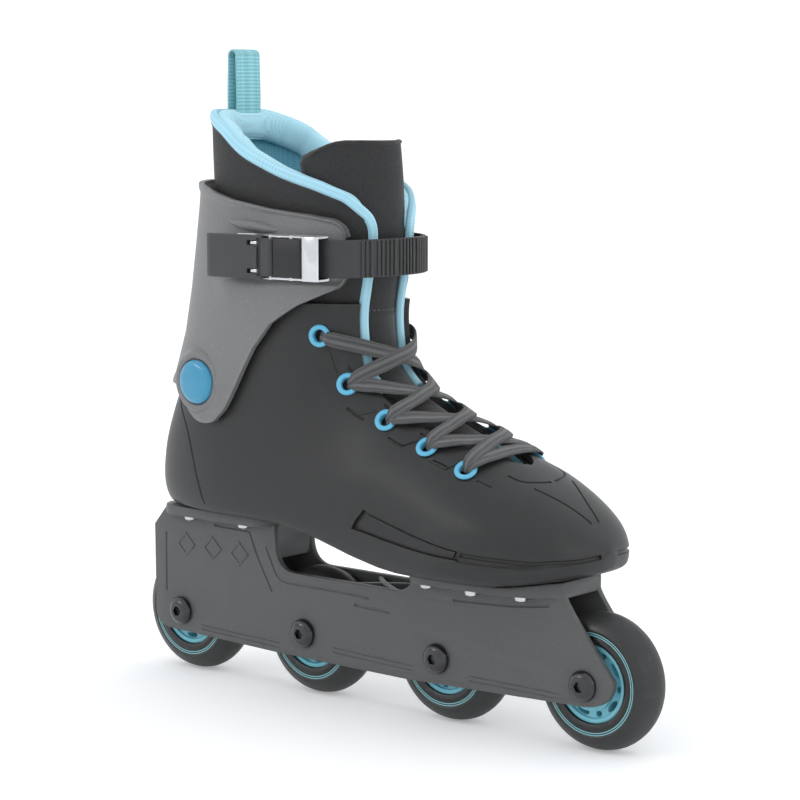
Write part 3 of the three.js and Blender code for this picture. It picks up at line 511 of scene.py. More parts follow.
# an open skin of the boot between a top line and a lower place, split along the throat
def bootSkin(name, columns, rows, inset, topOf, lowest, margin, soften=0.0):
    def turnAt(u, place):
        inner, outer = throatTurn(place, 1, margin), throatTurn(place, -1, margin)
        return inner + (2 * math.pi - outer - inner) * u

    tops = {}

    def place(u, v):
        def above(at):
            point = bootPoint(at, turnAt(u, at), inset)
            return point.z > topOf(point.x)

        if u not in tops:
            tops[u] = settle(0.0, 9.0, above)
        start = tops[u]
        at = start + (lowest - start) * (1 - v)
        turn = turnAt(u, at)
        thicker = 1 + max(0, at - 14.8) * 0.55 if inset > 0 else 1
        point = bootPoint(at, turn, inset * thicker)
        sole = between(soleLine, point.x) + deckZ + (inset and 6)
        over = point.z - sole
        point.z = sole + 0.5 * (over + math.sqrt(over * over + soften * soften)) if soften else max(point.z, sole)
        return point

    return formedGrid(name, columns, rows, place)


def surfaceLine(points, side, steps=14):
    flat = curveThrough([(place, turn * side, 0) for place, turn in points], steps * (len(points) - 1))
    return [(p.x, p.y) for p in flat]


def surfaceCord(points, side, radius, lift=0.0, steps=10):
    marks = surfaceLine(points, side, steps)
    ups = [bootNormal(*mark) for mark in marks]
    line = [bootPoint(*mark) + up * lift for mark, up in zip(marks, ups)]
    return swept("mark", line, ups, roundSection(radius), 10)


# a plate that lies on the boot between four corners, from one height to another
def surfacePlate(corners, side, low, high, parts=8):
    a, b, c, d = corners

    def place(u, v):
        at = [(a[k] * (1 - u) + b[k] * u) * (1 - v) + (d[k] * (1 - u) + c[k] * u) * v for k in (0, 1)]
        return bootPoint(at[0], at[1] * side) + bootNormal(at[0], at[1] * side) * (low + high) / 2

    return thickened(formedGrid("plate", parts, parts, place), high - low, 0)


shellLook = {"wall": 3.4, "top": 136, "rim": 1.0, "seam": 0.75, "columns": 150, "rows": 170, "soleEdge": 5,
             "toeTip": 137.5, "lowest": 18}
eyeletPlaces = [(4.7, 0.95), (6.3, 0.73), (7.85, 0.67), (9.85, 0.65), (11.6, 0.64)]


bootShell = bootSkin("bootShell", shellLook["columns"], shellLook["rows"], 0, lambda x: shellLook["top"] + deckZ,
                     shellLook["lowest"], 0, shellLook["soleEdge"])
closeMesh(bootShell, fill=False)
onlySelect(bootShell)
bpy.ops.object.mode_set(mode="EDIT")
bpy.ops.mesh.select_all(action="DESELECT")
bpy.ops.object.mode_set(mode="OBJECT")
for vertex in bootShell.data.vertices:
    vertex.select = vertex.co.x > shellLook["toeTip"] * mm  # the small opening at the tip of the toe, closed next
bpy.ops.object.mode_set(mode="EDIT")
bpy.ops.mesh.select_mode(type="VERT")
bpy.ops.mesh.fill_holes(sides=0)
bpy.ops.object.mode_set(mode="OBJECT")
thickened(bootShell, shellLook["wall"], -1, shellLook["rim"], 3, 55)


# the place and turn on the outer side of the boot at an x and z
def markAt(x, z):
    best = (1e9, 0, 0)
    for i in range(90):
        for j in range(60):
            place, turn = 3 + i * 0.1, math.pi * (0.5 + 0.5 * j / 60)
            point = bootPoint(place, turn)
            best = min(best, (abs(point.x - x) + abs(point.z - z), place, turn))
    return best[1:]


heelSeam = [markAt(x, z) for x, z in ((-128, 159), (-118, 144), (-112, 127), (-107, 114), (-102, 101))]
seamMarks = [heelSeam,  # each is cut on both sides of the boot
    [(7.05, -0.87), (7.6, -0.82)], [(8.7, -0.78), (9.4, -0.77)], [(10.55, -0.75), (11.1, -0.73)],
    [(12.2, -0.67), (12.8, -0.64)], [(5.75, -0.66), (6.0, -0.61)], [(7.2, -0.55), (7.45, -0.54)],
    [(9.0, -0.54), (9.35, -0.54)], [(13.75, -0.29), (14.8, -0.17), (15.5, -0.11), (16.15, -0.07)],
    [(12.7, -0.37), (13.25, -0.31), (13.6, -0.14), (13.7, -0.02)],
    [(13.45, -1.56), (13.95, -1.55), (14.8, -1.53), (15.55, -1.5), (16.6, -1.36), (17.25, -1.19), (17.7, -0.89)],
]
plates = {
    "pads": [[(5.25, -1.0), (5.95, -0.93), (5.95, -0.78), (5.2, -0.84)], [(6.85, -0.86), (7.4, -0.82), (7.4, -0.68), (6.85, -0.7)],
             [(8.45, -0.8), (9.35, -0.79), (9.35, -0.62), (8.45, -0.63)],
             [(10.4, -0.78), (11.15, -0.77), (11.15, -0.6), (10.4, -0.61)]],
    "wedge": [(10.8, -1.52), (11.0, -1.7), (13.45, -1.62), (13.45, -1.535)],
}
for side in (1, -1):
    combine(bootShell, [surfacePlate(corners, side, -0.8, 0.55) for corners in plates["pads"]], "UNION")
    combine(bootShell, [surfacePlate(plates["wedge"], side, -2.0, 3.0, 14)])
    combine(bootShell, [surfaceCord(points, side, shellLook["seam"]) for points in seamMarks[:-1]])
    combine(bootShell, [surfaceCord(seamMarks[-1], side, 1.25)])
    lower = [(place, turn - 0.06) for place, turn in seamMarks[-1][:5]]
    combine(bootShell, [surfaceCord(lower, side, 0.8)])
for side in (-1, 1):
    for place, turn in eyeletPlaces:
        out = bootNormal(place, side * turn)
        hole = turned("hole", [(0, -8), (4.6, -8), (4.6, 6), (0, 6)], bootPoint(place, side * turn), out, 24)
        combine(bootShell, [hole])
finish(bootShell, shellPlastic, "boot", "shell_plastic", "boot_shell")
# a darker plate laid on the floor of each wedge recess: painted shade that makes the recess read dark
for side, label in ((-1, "Outer"), (1, "Inner")):
    recessShadePlate = surfacePlate([(10.95, -1.55), (11.12, -1.67), (13.3, -1.605), (13.3, -1.55)], side, -2.2, -1.0, 14)
    finish(recessShadePlate, blackPlastic, "boot", "black_plastic")
    recessShadePlate.name = f"wedgeShadePlate{label}"
print("boot shell done")

eyeletLook = {"outer": 6, "hole": 3.3, "lift": 0.75, "depth": 2.1, "barrel": 4.3}


def eyeletProfile():
    outer, hole, lift = eyeletLook["outer"], eyeletLook["hole"], eyeletLook["lift"]
    crown = [(outer - 1.35 + 1.35 * math.cos(a), lift + 0.15 + 1.05 * math.sin(a)) for a in [k * math.pi / 10 for k in range(11)]]
    throatRim = [(hole + 0.15, lift + 0.1), (hole, lift - 0.4), (hole, -eyeletLook["depth"])]
    return [(eyeletLook["barrel"], -eyeletLook["depth"]), (eyeletLook["barrel"], lift), (outer, lift)] + crown + throatRim + \
        [(eyeletLook["barrel"], -eyeletLook["depth"])]


eyeletPattern = turned("eyeletPattern", eyeletProfile(), (0, 0, 0), (0, 0, 1), 40)
for side, label in ((-1, "lateral"), (1, "medial")):
    for i, (place, turn) in enumerate(eyeletPlaces):
        out, middle = bootNormal(place, side * turn), bootPoint(place, side * turn) * mm
        swing = Vector((0, 0, 1)).rotation_difference(out)
        ring = copyOf(eyeletPattern, f"eyelet_{label}_{i + 1}_ring", lambda co, swing=swing, middle=middle: swing @ co + middle)
        finish(ring, eyeletBlue, "boot", "blue_plastic", f"eyelet_{label}_{i + 1}")
bpy.data.objects.remove(eyeletPattern)


# laces: flat ribbons that dive into the eyelets at their ends

laceLook = {"width": 8.0, "thickness": 1.2, "high": 3.3, "low": 2.2, "steps": 30}


def laceBand(start, end, sag=0.0):
    line, ups = [], []
    for k in range(laceLook["steps"] + 1):
        s = k / laceLook["steps"]
        place = start[0] + (end[0] - start[0]) * s
        turn = start[1] + (end[1] - start[1]) * s
        up = bootNormal(place, turn)
        near = min(s, 1 - s)
        height = laceLook["high"] + (laceLook["low"] - laceLook["high"]) * smoothstep(0.15, 0.3, near)
        height = -2.5 + (height + 2.5) * smoothstep(-0.02, 0.07, near) - sag * math.sin(math.pi * s)
        line.append(bootPoint(place, turn) + up * height)
        ups.append(up)

    def section(u, v):
        spread = 0.72 + 0.28 * smoothstep(0.0, 0.1, min(v, 1 - v))
        a, b = flatSection(laceLook["width"] / 2 * spread, laceLook["thickness"] / 2, 4)(u, v)
        return a, b - 0.012 * a * a + 0.06 * math.sin(v * 40 + a)

    return swept("band", line, ups, section, 20)


def lacePlace(index, side):
    return eyeletPlaces[index][0], side * eyeletPlaces[index][1]


bands = [laceBand(lacePlace(4, -1), lacePlace(4, 1))]
for i in range(4):
    bands.append(laceBand(lacePlace(i + 1, -1), lacePlace(i, 1), -0.9))
    bands.append(laceBand(lacePlace(i + 1, 1), lacePlace(i, -1), 0.3))
finish(join("laceRibbons", bands), laceCloth, "boot", "lace_cloth", "laces", smooth=60)
print("laces and eyelets done")


# liner: a leather cover, a padded blue collar and a blue lining

linerLook = {"inset": 3.9, "cover": 1.6, "lining": 2.2, "collarHigh": 17, "collarThick": 4.9, "lowest": 12.2,
             "bandEnd": 6.7, "band": 4.5, "piping": 2.5, "seams": (0.3, 0.36, 0.64, 0.7), "seamDeep": 1.6, "margin": 3}
linerTop = [(-128, 236), (-108, 236), (-88, 228), (-72, 217), (-46, 207), (-21, 200), (-6, 194), (2, 184), (8, 160)]


def coverTop(x):
    return between(linerTop, x) + deckZ - linerLook["band"]


linerCover = bootSkin("linerCover", 120, 90, linerLook["inset"], coverTop, linerLook["lowest"], 1)
thickened(linerCover, linerLook["cover"], -1, 0.5, 2, 55)
finish(linerCover, linerLeather, None, "liner_padding", "liner")
lining = bootSkin("linerLining", 100, 70, linerLook["inset"] + linerLook["cover"] + 0.1,
                  lambda x: between(linerTop, x) + deckZ - 5, linerLook["lowest"], 1.5)
thickened(lining, linerLook["lining"], -1)
finish(lining, liningKnit, None, "liner_padding", "liner")


# the edge of the liner from the inner front corner round the heel to the outer one
def collarEdge(steps, drop):
    def turnAt(at, share):
        inner, outer = (throatTurn(at, side, linerLook["margin"]) for side in (1, -1))
        return inner + (2 * math.pi - outer - inner) * share

    def above(at, share):
        point = bootPoint(at, turnAt(at, share), linerLook["inset"])
        return point.z > between(linerTop, point.x) + deckZ - drop

    shares = [k / steps for k in range(steps + 1)]
    places = [settle(0.0, 9.0, lambda at, share=share: above(at, share)) for share in shares]
    return [(at, turnAt(at, share)) for at, share in zip(places, shares)]


def collarRoll():
    marks = collarEdge(120, linerLook["collarHigh"] / 2)
    line = [bootPoint(place, turn, linerLook["inset"] + 5.3) for place, turn in marks]
    outs = [bootNormal(place, turn) for place, turn in marks]

    def section(u, v):
        a, b = flatSection(linerLook["collarHigh"] / 2, linerLook["collarThick"], 2.3)(u, v)
        heel = math.exp(-((v - 0.5) / 0.12) ** 2)
        b *= 1 + 0.5 * heel
        if b < 0:
            b += sum(linerLook["seamDeep"] * math.exp(-((v - seam) / 0.006) ** 2) for seam in linerLook["seams"])
        end = 0.45 + 0.55 * min(1, math.sqrt(max(0.0, min(v, 1 - v) * 14)))
        pucker = 0.25 * math.sin(v * 330) * (0.5 + 0.5 * math.sin(v * 37))
        return a * end, -2.6 * heel + (b + math.copysign(pucker * abs(b) / linerLook["collarThick"], b)) * end

    return swept("linerCollar", line, outs, section, 28)


def edgeBand():
    top = collarEdge(150, 2.6)
    down = [[(top[end][0] + (linerLook["bandEnd"] - top[end][0]) * k / 50) for k in range(1, 51)] for end in (0, -1)]
    inner = [(place, throatTurn(place, 1, linerLook["margin"])) for place in reversed(down[0])]
    outer = [(place, 2 * math.pi - throatTurn(place, -1, linerLook["margin"])) for place in down[1]]
    marks = inner + top + outer
    line = eased([bootPoint(place, turn, linerLook["inset"] + 1.0) for place, turn in marks])  # softens the two front corners
    return swept("linerBand", line, [bootNormal(place, turn) for place, turn in marks],
                 flatSection(linerLook["piping"] + 0.5, 2.3, 2.3), 18)


def coverStitch():
    marks = collarEdge(170, 5.9)
    line = eased([bootPoint(place, turn, linerLook["inset"] - 0.15) for place, turn in marks])
    return swept("linerStitch", line, [bootNormal(place, turn) for place, turn in marks], roundSection(0.45), 8)


band = finish(edgeBand(), stripBlue, None, "liner_padding", "liner", smooth=60)
stitch = finish(coverStitch(), bindingCloth, None, "liner_padding", "liner", smooth=60)
linerCollar = collarRoll()
applyModifier(linerCollar, "SUBSURF", levels=1, render_levels=1)
finish(linerCollar, collarKnit, None, "liner_padding", "liner", smooth=60)
for soft in (linerCover, lining, linerCollar, stitch, band):
    soft.parent = None
    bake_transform(soft)


# tongue: padded leather with a cloth binding, mesh below, blue inside

tongueLook = {"half": 27, "crown": 3.6, "inset": 8.8, "pad": 2.6, "back": 1.3, "top": 0.58, "foot": 11.7, "corner": 9,
              "stitchZ": 212, "meshZ": 209}


def tonguePlace(extra, grow, start=tongueLook["top"]):
    def place(u, v):
        at = tongueLook["foot"] + (start - tongueLook["foot"]) * (1 - (1 - v) ** 1.7)
        flare = 1 + max(0, 3 - at) * 0.05
        half = tongueLook["half"] * flare * min(1, 0.5 + (throat["end"] - at) * 0.14) + grow
        fromTop = (at - tongueLook["top"]) * 42
        if fromTop < tongueLook["corner"]:
            e = tongueLook["corner"] - max(0, fromTop)
            half -= tongueLook["corner"] - math.sqrt(max(0, tongueLook["corner"] ** 2 - e * e))
        y = half * (2 * u - 1)
        _, _, _, _, halfWidth, _, square = rowAt(at)
        turn = math.copysign(math.asin(min(1, abs(y) / (halfWidth - tongueLook["inset"])) ** (square / 2)), y)
        room = throat["half"] * min(1, math.sqrt(max(0.06, (throat["end"] - at) / throat["taper"]))) - 3
        bulge = math.cos(y / room * math.pi / 2) if abs(y) < room else 0
        return bootPoint(at, turn, tongueLook["inset"] + extra - tongueLook["crown"] * bulge)
    return place


tongue = formedGrid("tonguePad", 40, 150, tonguePlace(1.3, 0))
thickened(tongue, tongueLook["pad"], 0, 0.8, 2, 55)
finish(tongue, [tongueLeather, blackMesh], "boot", "leatherette", "tongue")
for face in tongue.data.polygons:
    face.material_index = 1 if face.center.z < tongueLook["meshZ"] * mm else 0
tongueBack = formedGrid("tongueBack", 40, 100, tonguePlace(3.3, -1, tongueLook["top"] + 0.02))
thickened(tongueBack, tongueLook["back"], 0)
finish(tongueBack, liningKnit, "boot", "liner_padding", "tongue")


def tongueHem():
    marks = [(0.0, v / 60) for v in range(20, 60)] + [(u / 40, 1.0) for u in range(41)]
    marks += [(1.0, v / 60) for v in range(59, 19, -1)]
    at = tonguePlace(1.6, 0.3)
    line = [at(u, v) for u, v in marks]
    clean = [line[0]]
    for point in line[1:]:
        if (point - clean[-1]).length > 0.8:
            clean.append(point)
    return swept("tongueHem", clean, (1, 0, 0.35), flatSection(1.3, 2.4, 2.6), 10)


def tongueStitches():
    at = tonguePlace(-0.1, 0)
    rows = []
    for k in range(17):
        u = 0.14 + 0.72 * k / 16
        v = settle(0.0, 1.0, lambda v, u=u: at(u, v).z < tongueLook["stitchZ"], 16)
        line = [at(u - 0.013, v), at(u, v), at(u + 0.013, v)]
        rows.append(swept("stitch", line, (1, 0, 0.2), flatSection(0.4, 0.45, 2.5), 8))
    return join("tongueStitches", rows)


finish(tongueStitches(), threadGrey, "boot", "leatherette", smooth=60)
finish(tongueHem(), bindingCloth, "boot", "leatherette", "tongue", smooth=60)


# an insole as wide as the room inside the boot at each x
insoleLook = {"rear": -128, "length": 236, "high": 13.5, "thick": 2.6, "inset": 9.2, "cup": 3.5, "wide": 24}


def insoleReach(x):
    reach = 0
    for k in range(12):
        turn = math.pi * (0.32 + 0.66 * k / 11)
        low, high = 4.2, 15.5
        for _ in range(10):
            at = (low + high) / 2
            point = bootPoint(at, turn, insoleLook["inset"])
            low, high = (at, high) if point.x < x else (low, at)
        if abs(point.x - x) < 3 and abs(point.z - deckZ - between(soleLine, x) - 14) < 16:
            reach = max(reach, abs(point.y - 3 * smoothstep(-20, 80, x)))
    return reach or insoleLook["wide"]


def insolePlace(u, v):
    x = insoleLook["rear"] + insoleLook["length"] * v
    if x not in insoleWidths:
        insoleWidths[x] = insoleReach(x) * math.sqrt(max(0, 1 - abs(2 * v - 1) ** 6))
    cup = insoleLook["cup"] * (abs(2 * u - 1) ** 4) * smoothstep(20, -60, x)
    return x, (2 * u - 1) * insoleWidths[x] + 3 * smoothstep(-20, 80, x), between(soleLine, x) + deckZ + insoleLook["high"] + cup


insoleWidths = {}
insole = thickened(formedGrid("insoleCushion", 60, 80, insolePlace), insoleLook["thick"], -1)
finish(insole, insoleCloth, "boot", "insole_cloth", "insole")

loopLook = {"x": -106.7, "foot": 220, "top": 268.5, "gap": 4.4, "tape": 1.3, "half": 9.25}


def pullLoop():
    radius = loopLook["gap"] / 2 + loopLook["tape"] / 2
    middle = loopLook["x"] + loopLook["gap"] / 2 + loopLook["tape"]
    crest = loopLook["top"] - radius - loopLook["tape"] / 2
    line, ups = [], []
    for k in range(25):
        z = loopLook["foot"] + (crest - loopLook["foot"]) * k / 24
        spread = 0.5 * math.sin(math.pi * k / 24) ** 2
        line.append((middle - radius - spread, 0, z + deckZ))
        ups.append((-1, 0, 0))
    for k in range(1, 16):
        angle = math.pi - math.pi * k / 16
        line.append((middle + radius * math.cos(angle), 0, crest + deckZ + radius * math.sin(angle)))
        ups.append((math.cos(angle), 0, math.sin(angle)))
    for k in range(25):
        z = crest + (loopLook["foot"] - crest) * k / 24
        spread = 0.5 * math.sin(math.pi * k / 24) ** 2
        line.append((middle + radius + spread, 0, z + deckZ))
        ups.append((1, 0, 0))
    return swept("pullLoopTape", line, ups, flatSection(loopLook["half"], loopLook["tape"] / 2, 6), 28)


finish(pullLoop(), webbingBlue, "cuff", "webbing", "pull_loop", smooth=60)
print("soft pieces done")


# cuff: one moulded wall between a lower and an upper line, with a rolled lip and two ledges

cuffLook = {"wall": 3.0, "columns": 210, "rows": 76, "frontOuter": -1, "frontInner": -20, "corner": 7, "lip": 1.1,
            "shelf": 2.4}
cuffRings = [(55, -156, 22, 42), (80, -148, 18, 42.4), (95, -142, 15, 42.4), (115, -134.5, 13, 42.4), (140, -129, 13, 42.4),
             (165, -125, 14, 42.5), (185, -122, 14, 42.5), (205, -120, 15, 42.5)]
cuffLow = [(-160, 88), (-125, 86), (-118, 83), (-110, 73.5), (-104, 69.5), (-99, 68), (-93, 68), (-88, 69.5), (-78, 78), (-70, 91),
           (-60, 109), (-46, 124.5), (-28, 135), (-13, 141.5), (-1, 147)]
cuffHigh = [(-135, 200), (-100, 195), (-72, 189), (-45, 185), (-20, 182), (-1, 178.5)]
pivotPlace = {"x": -101, "z": 170}


def cuffRow(z):
    z -= deckZ
    return [between([(ring[0], ring[k]) for ring in cuffRings], z) for k in (1, 2, 3)]


def cuffPoint(z, turn, out=0.0):
    rear, front, half = cuffRow(z)
    middle, reach, wide = (rear + front) / 2, (front - rear) / 2 + out, half + out
    c, s = math.cos(turn), math.sin(turn)
    power = 2 / (2.8 if c > 0 else 2.4)
    return Vector((middle + reach * math.copysign(abs(c) ** power, c), wide * math.copysign(abs(s) ** power, s), z))


def cuffTurn(z, x):
    rear, front, _ = cuffRow(z)
    share = (x - (rear + front) / 2) / ((front - rear) / 2)
    c = math.copysign(abs(share) ** ((2.8 if share > 0 else 2.4) / 2), share)
    return math.acos(max(-1, min(1, c)))


def cuffRelief(point, turn, v):
    lip = cuffLook["lip"] * smoothstep(0.955, 0.985, v) if turn else 0
    x, z = point.x, point.z - deckZ
    edge = 0.5 * smoothstep(0.05, 0.02, v)
    shelf = cuffLook["shelf"] * smoothstep(148.6, 146, z) * smoothstep(118, 143, z + 0.15 * (x + 40))
    return lip + edge + (shelf * smoothstep(-92, -74, x) * smoothstep(4, -8, x) if point.y < 0 else 0)


def cuffPlace(u, v):
    outer, inner = cuffLook["frontOuter"], cuffLook["frontInner"]
    z = 240.0
    for _ in range(4):
        turn = cuffTurn(z, inner) * (1 - u) + (2 * math.pi - cuffTurn(z, outer)) * u
        point = cuffPoint(z, turn)
        edge = (inner if point.y > 0 else outer) - point.x if u < 0.3 or u > 0.7 else 99
        r = cuffLook["corner"]
        cut = r - math.sqrt(max(0, r * r - (r - max(0, edge)) ** 2)) if edge < r else 0
        low, high = between(cuffLow, point.x) + deckZ + cut, between(cuffHigh, point.x) + deckZ - cut
        z = low + (high - low) * v
    return cuffPoint(z, turn, cuffRelief(point, turn, v))


cuff = formedGrid("cuffShell", cuffLook["columns"], cuffLook["rows"], cuffPlace)
thickened(cuff, cuffLook["wall"], -1, 0.9, 3, 55)
capFace = abs(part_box("cuff_pivot_cap_lateral")[0].y) / mm - 3.2
padProfile = [(0, -5.5), (19.5, -5.5), (16.6, -1.2), (15.6, -0.25), (14.6, 0), (13.1, 0), (12.5, -0.5), (12.3, -1.2), (0, -1.2)]
capProfile = [(0, -0.9), (11.9, -0.9), (12, -0.2), (11.8, 0.5), (11.2, 1.3), (10.3, 1.9), (9, 2.35), (7, 2.75), (4.5, 3.05),
              (2, 3.2), (0, 3.2)]
pads = []
for side, label in ((-1, "lateral"), (1, "medial")):
    place = (pivotPlace["x"], side * capFace, pivotPlace["z"])
    pads.append(turned("pad", padProfile, place, (0, side, 0), 72))
    cap = turned(f"pivotCap_{label}", capProfile, place, (0, side, 0), 72)
    finish(cap, blueGloss, "boot", "blue_plastic", f"cuff_pivot_cap_{label}", smooth=40)
almondLook = {"x": -57, "z": 255.6, "length": 19, "high": 3.1, "deep": 5.2, "tilt": -0.1}


def almondPlace(u, v):
    t = 2 * v - 1
    swell = max(0, 1 - t * t) ** 0.75
    a, x = 2 * math.pi * (u % 1), almondLook["x"] + almondLook["length"] * t
    out = cuffPoint(almondLook["z"], 2 * math.pi - cuffTurn(almondLook["z"], x)).y
    z = almondLook["z"] + almondLook["tilt"] * (x - almondLook["x"]) + swell * almondLook["high"] * math.sin(a)
    return x, out + 1.2 - 0.9 * swell * almondLook["deep"] * math.cos(a), z


almond = closeMesh(formedGrid("almond", 24, 40, almondPlace))
finish(join("cuffShell", [cuff, almond] + pads), cuffPlastic, "cuff", "cuff_plastic", "cuff")
print("cuff done")


# strap and buckle; in the buckle's own frame x is forward, y towards the foot, z up

buckleLook = {"x": -38, "y": -43, "z": 240.5, "turn": 4, "half": 11.4, "sheet": 1.2, "rear": -27, "front": 33, "top": 10.8,
              "nose": 23.4, "lever": 42, "plate": 2.4, "hub": 3.6, "pinHeight": 7.2,
              "neckEnd": -3.4, "slotZ": 7.3}


def inBuckle(x, y, z=0.0):
    angle = math.radians(buckleLook["turn"])
    return Vector((buckleLook["x"] + x * math.cos(angle) - y * math.sin(angle),
                   buckleLook["y"] + x * math.sin(angle) + y * math.cos(angle), buckleLook["z"] + z))


def buckleBlock(outline, low, high):
    return prism("block", outline, lambda x, y: inBuckle(x, y, low), (0, 0, high - low))


def buckleParts():
    half, sheet, rear, front, top, nose = (buckleLook[k] for k in ("half", "sheet", "rear", "front", "top", "nose"))
    flange = top - buckleLook["plate"] - 0.3
    plate = buckleBlock([(rear, 0), (front, 0), (front, -sheet), (rear, -sheet)], -half, half)
    plate.name = "buckleBase"
    wall = [(-12, -0.1), (front, -0.1), (front, -top + 1.2), (front - 1.2, -top), (nose, -top), (nose - 1, -flange), (-8, -flange),
            (-10.5, -flange + 1), (-12, -flange + 3)]
    walls = [buckleBlock(wall, low, low + sheet) for low in (-half, half - sheet)]
    bridge = buckleBlock([(nose, -top), (front - 1, -top), (front - 0.4, -top + 0.5), (front, -top + 1.6), (nose, -top + 1.6)],
                         -half, half)
    base = combine(plate, walls + [bridge], "UNION")
    finish(rounded(base, 0.3, 2), chrome, "cuff", "chrome", "buckle_base")

    length, pin, hub = buckleLook["lever"], buckleLook["pinHeight"], buckleLook["hub"]
    neckEnd = buckleLook["neckEnd"]
    under = [(neckEnd, -top + 2.4), (-length + 3, -top + 3.3), (-length + 1, -top + 3.5), (-length + 0.1, -top + 3.2),
             (-length - 0.1, -top + 2.5), (-length + 0.3, -top + 1.6), (-length + 1.6, -top + 0.7), (-length + 5, -top), (neckEnd, -top)]
    paddle = buckleBlock(under, -half, half)
    rounded(paddle, 0.8, 3)
    slot = [(-13, -top - 3), (-5, -top - 3), (-5, 3 - top), (-13, 3 - top)]
    hook = [(-11, 0.5 - top), (-5.4, 0.5 - top), (-5.4, 2.6 - top), (-11, 2.6 - top)]
    middles = (-buckleLook["slotZ"], buckleLook["slotZ"])
    slots = [buckleBlock(slot, z - 1.25, z + 1.25) for z in middles]
    hooks = [rounded(buckleBlock(hook, z - 0.8, z + 0.8), 0.3) for z in middles]
    combine(paddle, slots)
    finish(join("leverHooks", hooks), chrome, "buckle_lever", "chrome")
    inner = half - sheet - 0.3
    hubRing = [(hub * math.cos(a), -pin + hub * math.sin(a)) for a in [2 * math.pi * k / 32 for k in range(32)]]
    neck = buckleBlock([(-6.5, -top), (0, -top), (0, -top + 2.4), (-6.5, -top + 2.4)], -inner, inner)
    lever = join("leverPaddle", [paddle, rounded(buckleBlock(hubRing, -inner, inner), 0.4), neck])
    finish(lever, leverPlastic, "buckle_lever", "black_plastic", "buckle_lever")

    rear, front = hub + 0.4, nose - 0.8
    outline = [(rear, 0.2), (rear + 4, 1.2), (front - 3, 2.5), (front, 2.5), (front, -hub + 0.8), (front - 0.8, -hub),
               (rear + 0.8, -hub), (rear, -hub + 0.8)]
    pawl = buckleBlock([(x, y - pin) for x, y in outline], -inner, inner)
    finish(rounded(pawl, 0.35, 2), blackPlastic, "buckle_pawl", "black_plastic", "buckle_pawl")


buckleParts()

strapLook = {"width": 19.6, "thickness": 1.8, "steps": 140, "firstRib": 48, "ribs": 22, "ribHigh": 1.0, "ribHalf": 9.2,
             "under": -2.4, "screw": (-52, 45.35)}
strapStops = [inBuckle(x, strapLook["under"]) for x in (-18, 0, 18, 33)] + [
    Vector((x, y, buckleLook["z"])) for x, y in (
        (3, -38.5), (8.6, -28), (11.4, -14), (11.8, 0), (10, 12.5), (5.5, 23), (-3, 31.5), (-13, 37.8),
        (-25, 42.4), (-44, 44.2), (-62, 44.4))]
strapLine = curveThrough(strapStops, strapLook["steps"])
strapOuts = []
for i in range(len(strapLine)):
    forward = strapLine[min(i + 1, strapLook["steps"])] - strapLine[max(i - 1, 0)]
    strapOuts.append(forward.cross(Vector((0, 0, 1))).normalized())
strapParts = [swept("strap", strapLine, strapOuts, flatSection(strapLook["width"] / 2, strapLook["thickness"] / 2, 9), 28)]
for k in range(strapLook["ribs"]):
    i = strapLook["firstRib"] + round(k * 2.2)
    middle, out = strapLine[i] + strapOuts[i] * 0.8, strapOuts[i]
    ends = [middle + Vector((0, 0, z)) for z in (-strapLook["ribHalf"], strapLook["ribHalf"])]
    strapParts.append(swept("rib", ends, out, flatSection(0.85, strapLook["ribHigh"], 3), 10))
finish(join("strapBand", strapParts), strapPlastic, "cuff", "black_plastic", "ladder_strap")
screwAt = Vector((*strapLook["screw"], buckleLook["z"]))
screwProfile = [(0, -7), (2, -7), (2, 0), (5, 0), (4.9, 0.7), (4.3, 1.3), (3, 1.7), (1.5, 1.8), (0, 1.8)]
screwHead = turned("strapScrewHead", screwProfile, screwAt, (0, 1, 0), 40)
combine(screwHead, [prism("hex", hexagon(2), lambda a, b: screwAt + Vector((a, 0.7, b)), (0, 3, 0))])
finish(screwHead, blackSteel, "cuff", "black_steel", "strap_screw")
print("buckle and strap done")


# frame: two side plates, two decks, bulkheads and ribs

frameLook = {"inside": 12.5, "outside": 16.2, "pitch": 92.8, "rear": -139.2, "axleZ": 35, "rearTop": 96.3, "deck": 5.5,
             "rearHalf": 25, "frontHalf": 27, "edge": 0.7, "groove": 0.55}
axles = [frameLook["rear"] + frameLook["pitch"] * k for k in range(4)]


def arc(start, bend, end, steps=12):
    return [tuple(start[k] * (1 - t) ** 2 + 2 * bend[k] * t * (1 - t) + end[k] * t * t for k in (0, 1))
            for t in [i / steps for i in range(1, steps + 1)]]


def plateOutline():
    a, b, c, d = axles
    top, z = frameLook["rearTop"], frameLook["axleZ"]
    line = [(a - 9.5, top), (a - 21.4, z + 47.5), (a - 21, z - 2.7)]
    line += arc(line[-1], (a - 20, z - 10.5), (a - 10, z - 11.5))
    line += [(b - 21.6, z - 13.7), (c - 22, z - 14.4), (d, z - 10.7)]
    line += arc(line[-1], (d + 18, z - 9), (d + 17.8, z + 4.1))
    line += [(d - 1, z + 27)]
    line += arc(line[-1], (d - 11, z + 39), (d - 12.5, deckZ - 1.8))
    line += [(d - 12.5, deckZ), (c - 15.4, deckZ)]
    line += arc(line[-1], (c - 16, z + 34), (c - 27, z + 32))
    line += [(b - 7.3, z + 32)]
    line += arc(line[-1], (b - 19, z + 32.5), (b - 20.4, z + 44.2))
    line += [(b - 21.8, top)]
    return line


def sideBlock(outline, y0, y1):
    return prism("side", outline, lambda x, z: (x, y0, z), (0, y1 - y0, 0))


def planBlock(outline, z0, z1):
    return prism("plan", outline, lambda x, y: (x, y, z0), (0, 0, z1 - z0))


def mirroredPlan(points):
    return points + [(x, -y) for x, y in reversed(points)]


def sideCord(points, side, radius, steps=12):
    flat = curveThrough([(x, z, 0) for x, z in points], steps * (len(points) - 1))
    return swept("line", [(p.x, side * frameLook["outside"], p.y) for p in flat], (0, side, 0), roundSection(radius), 8)


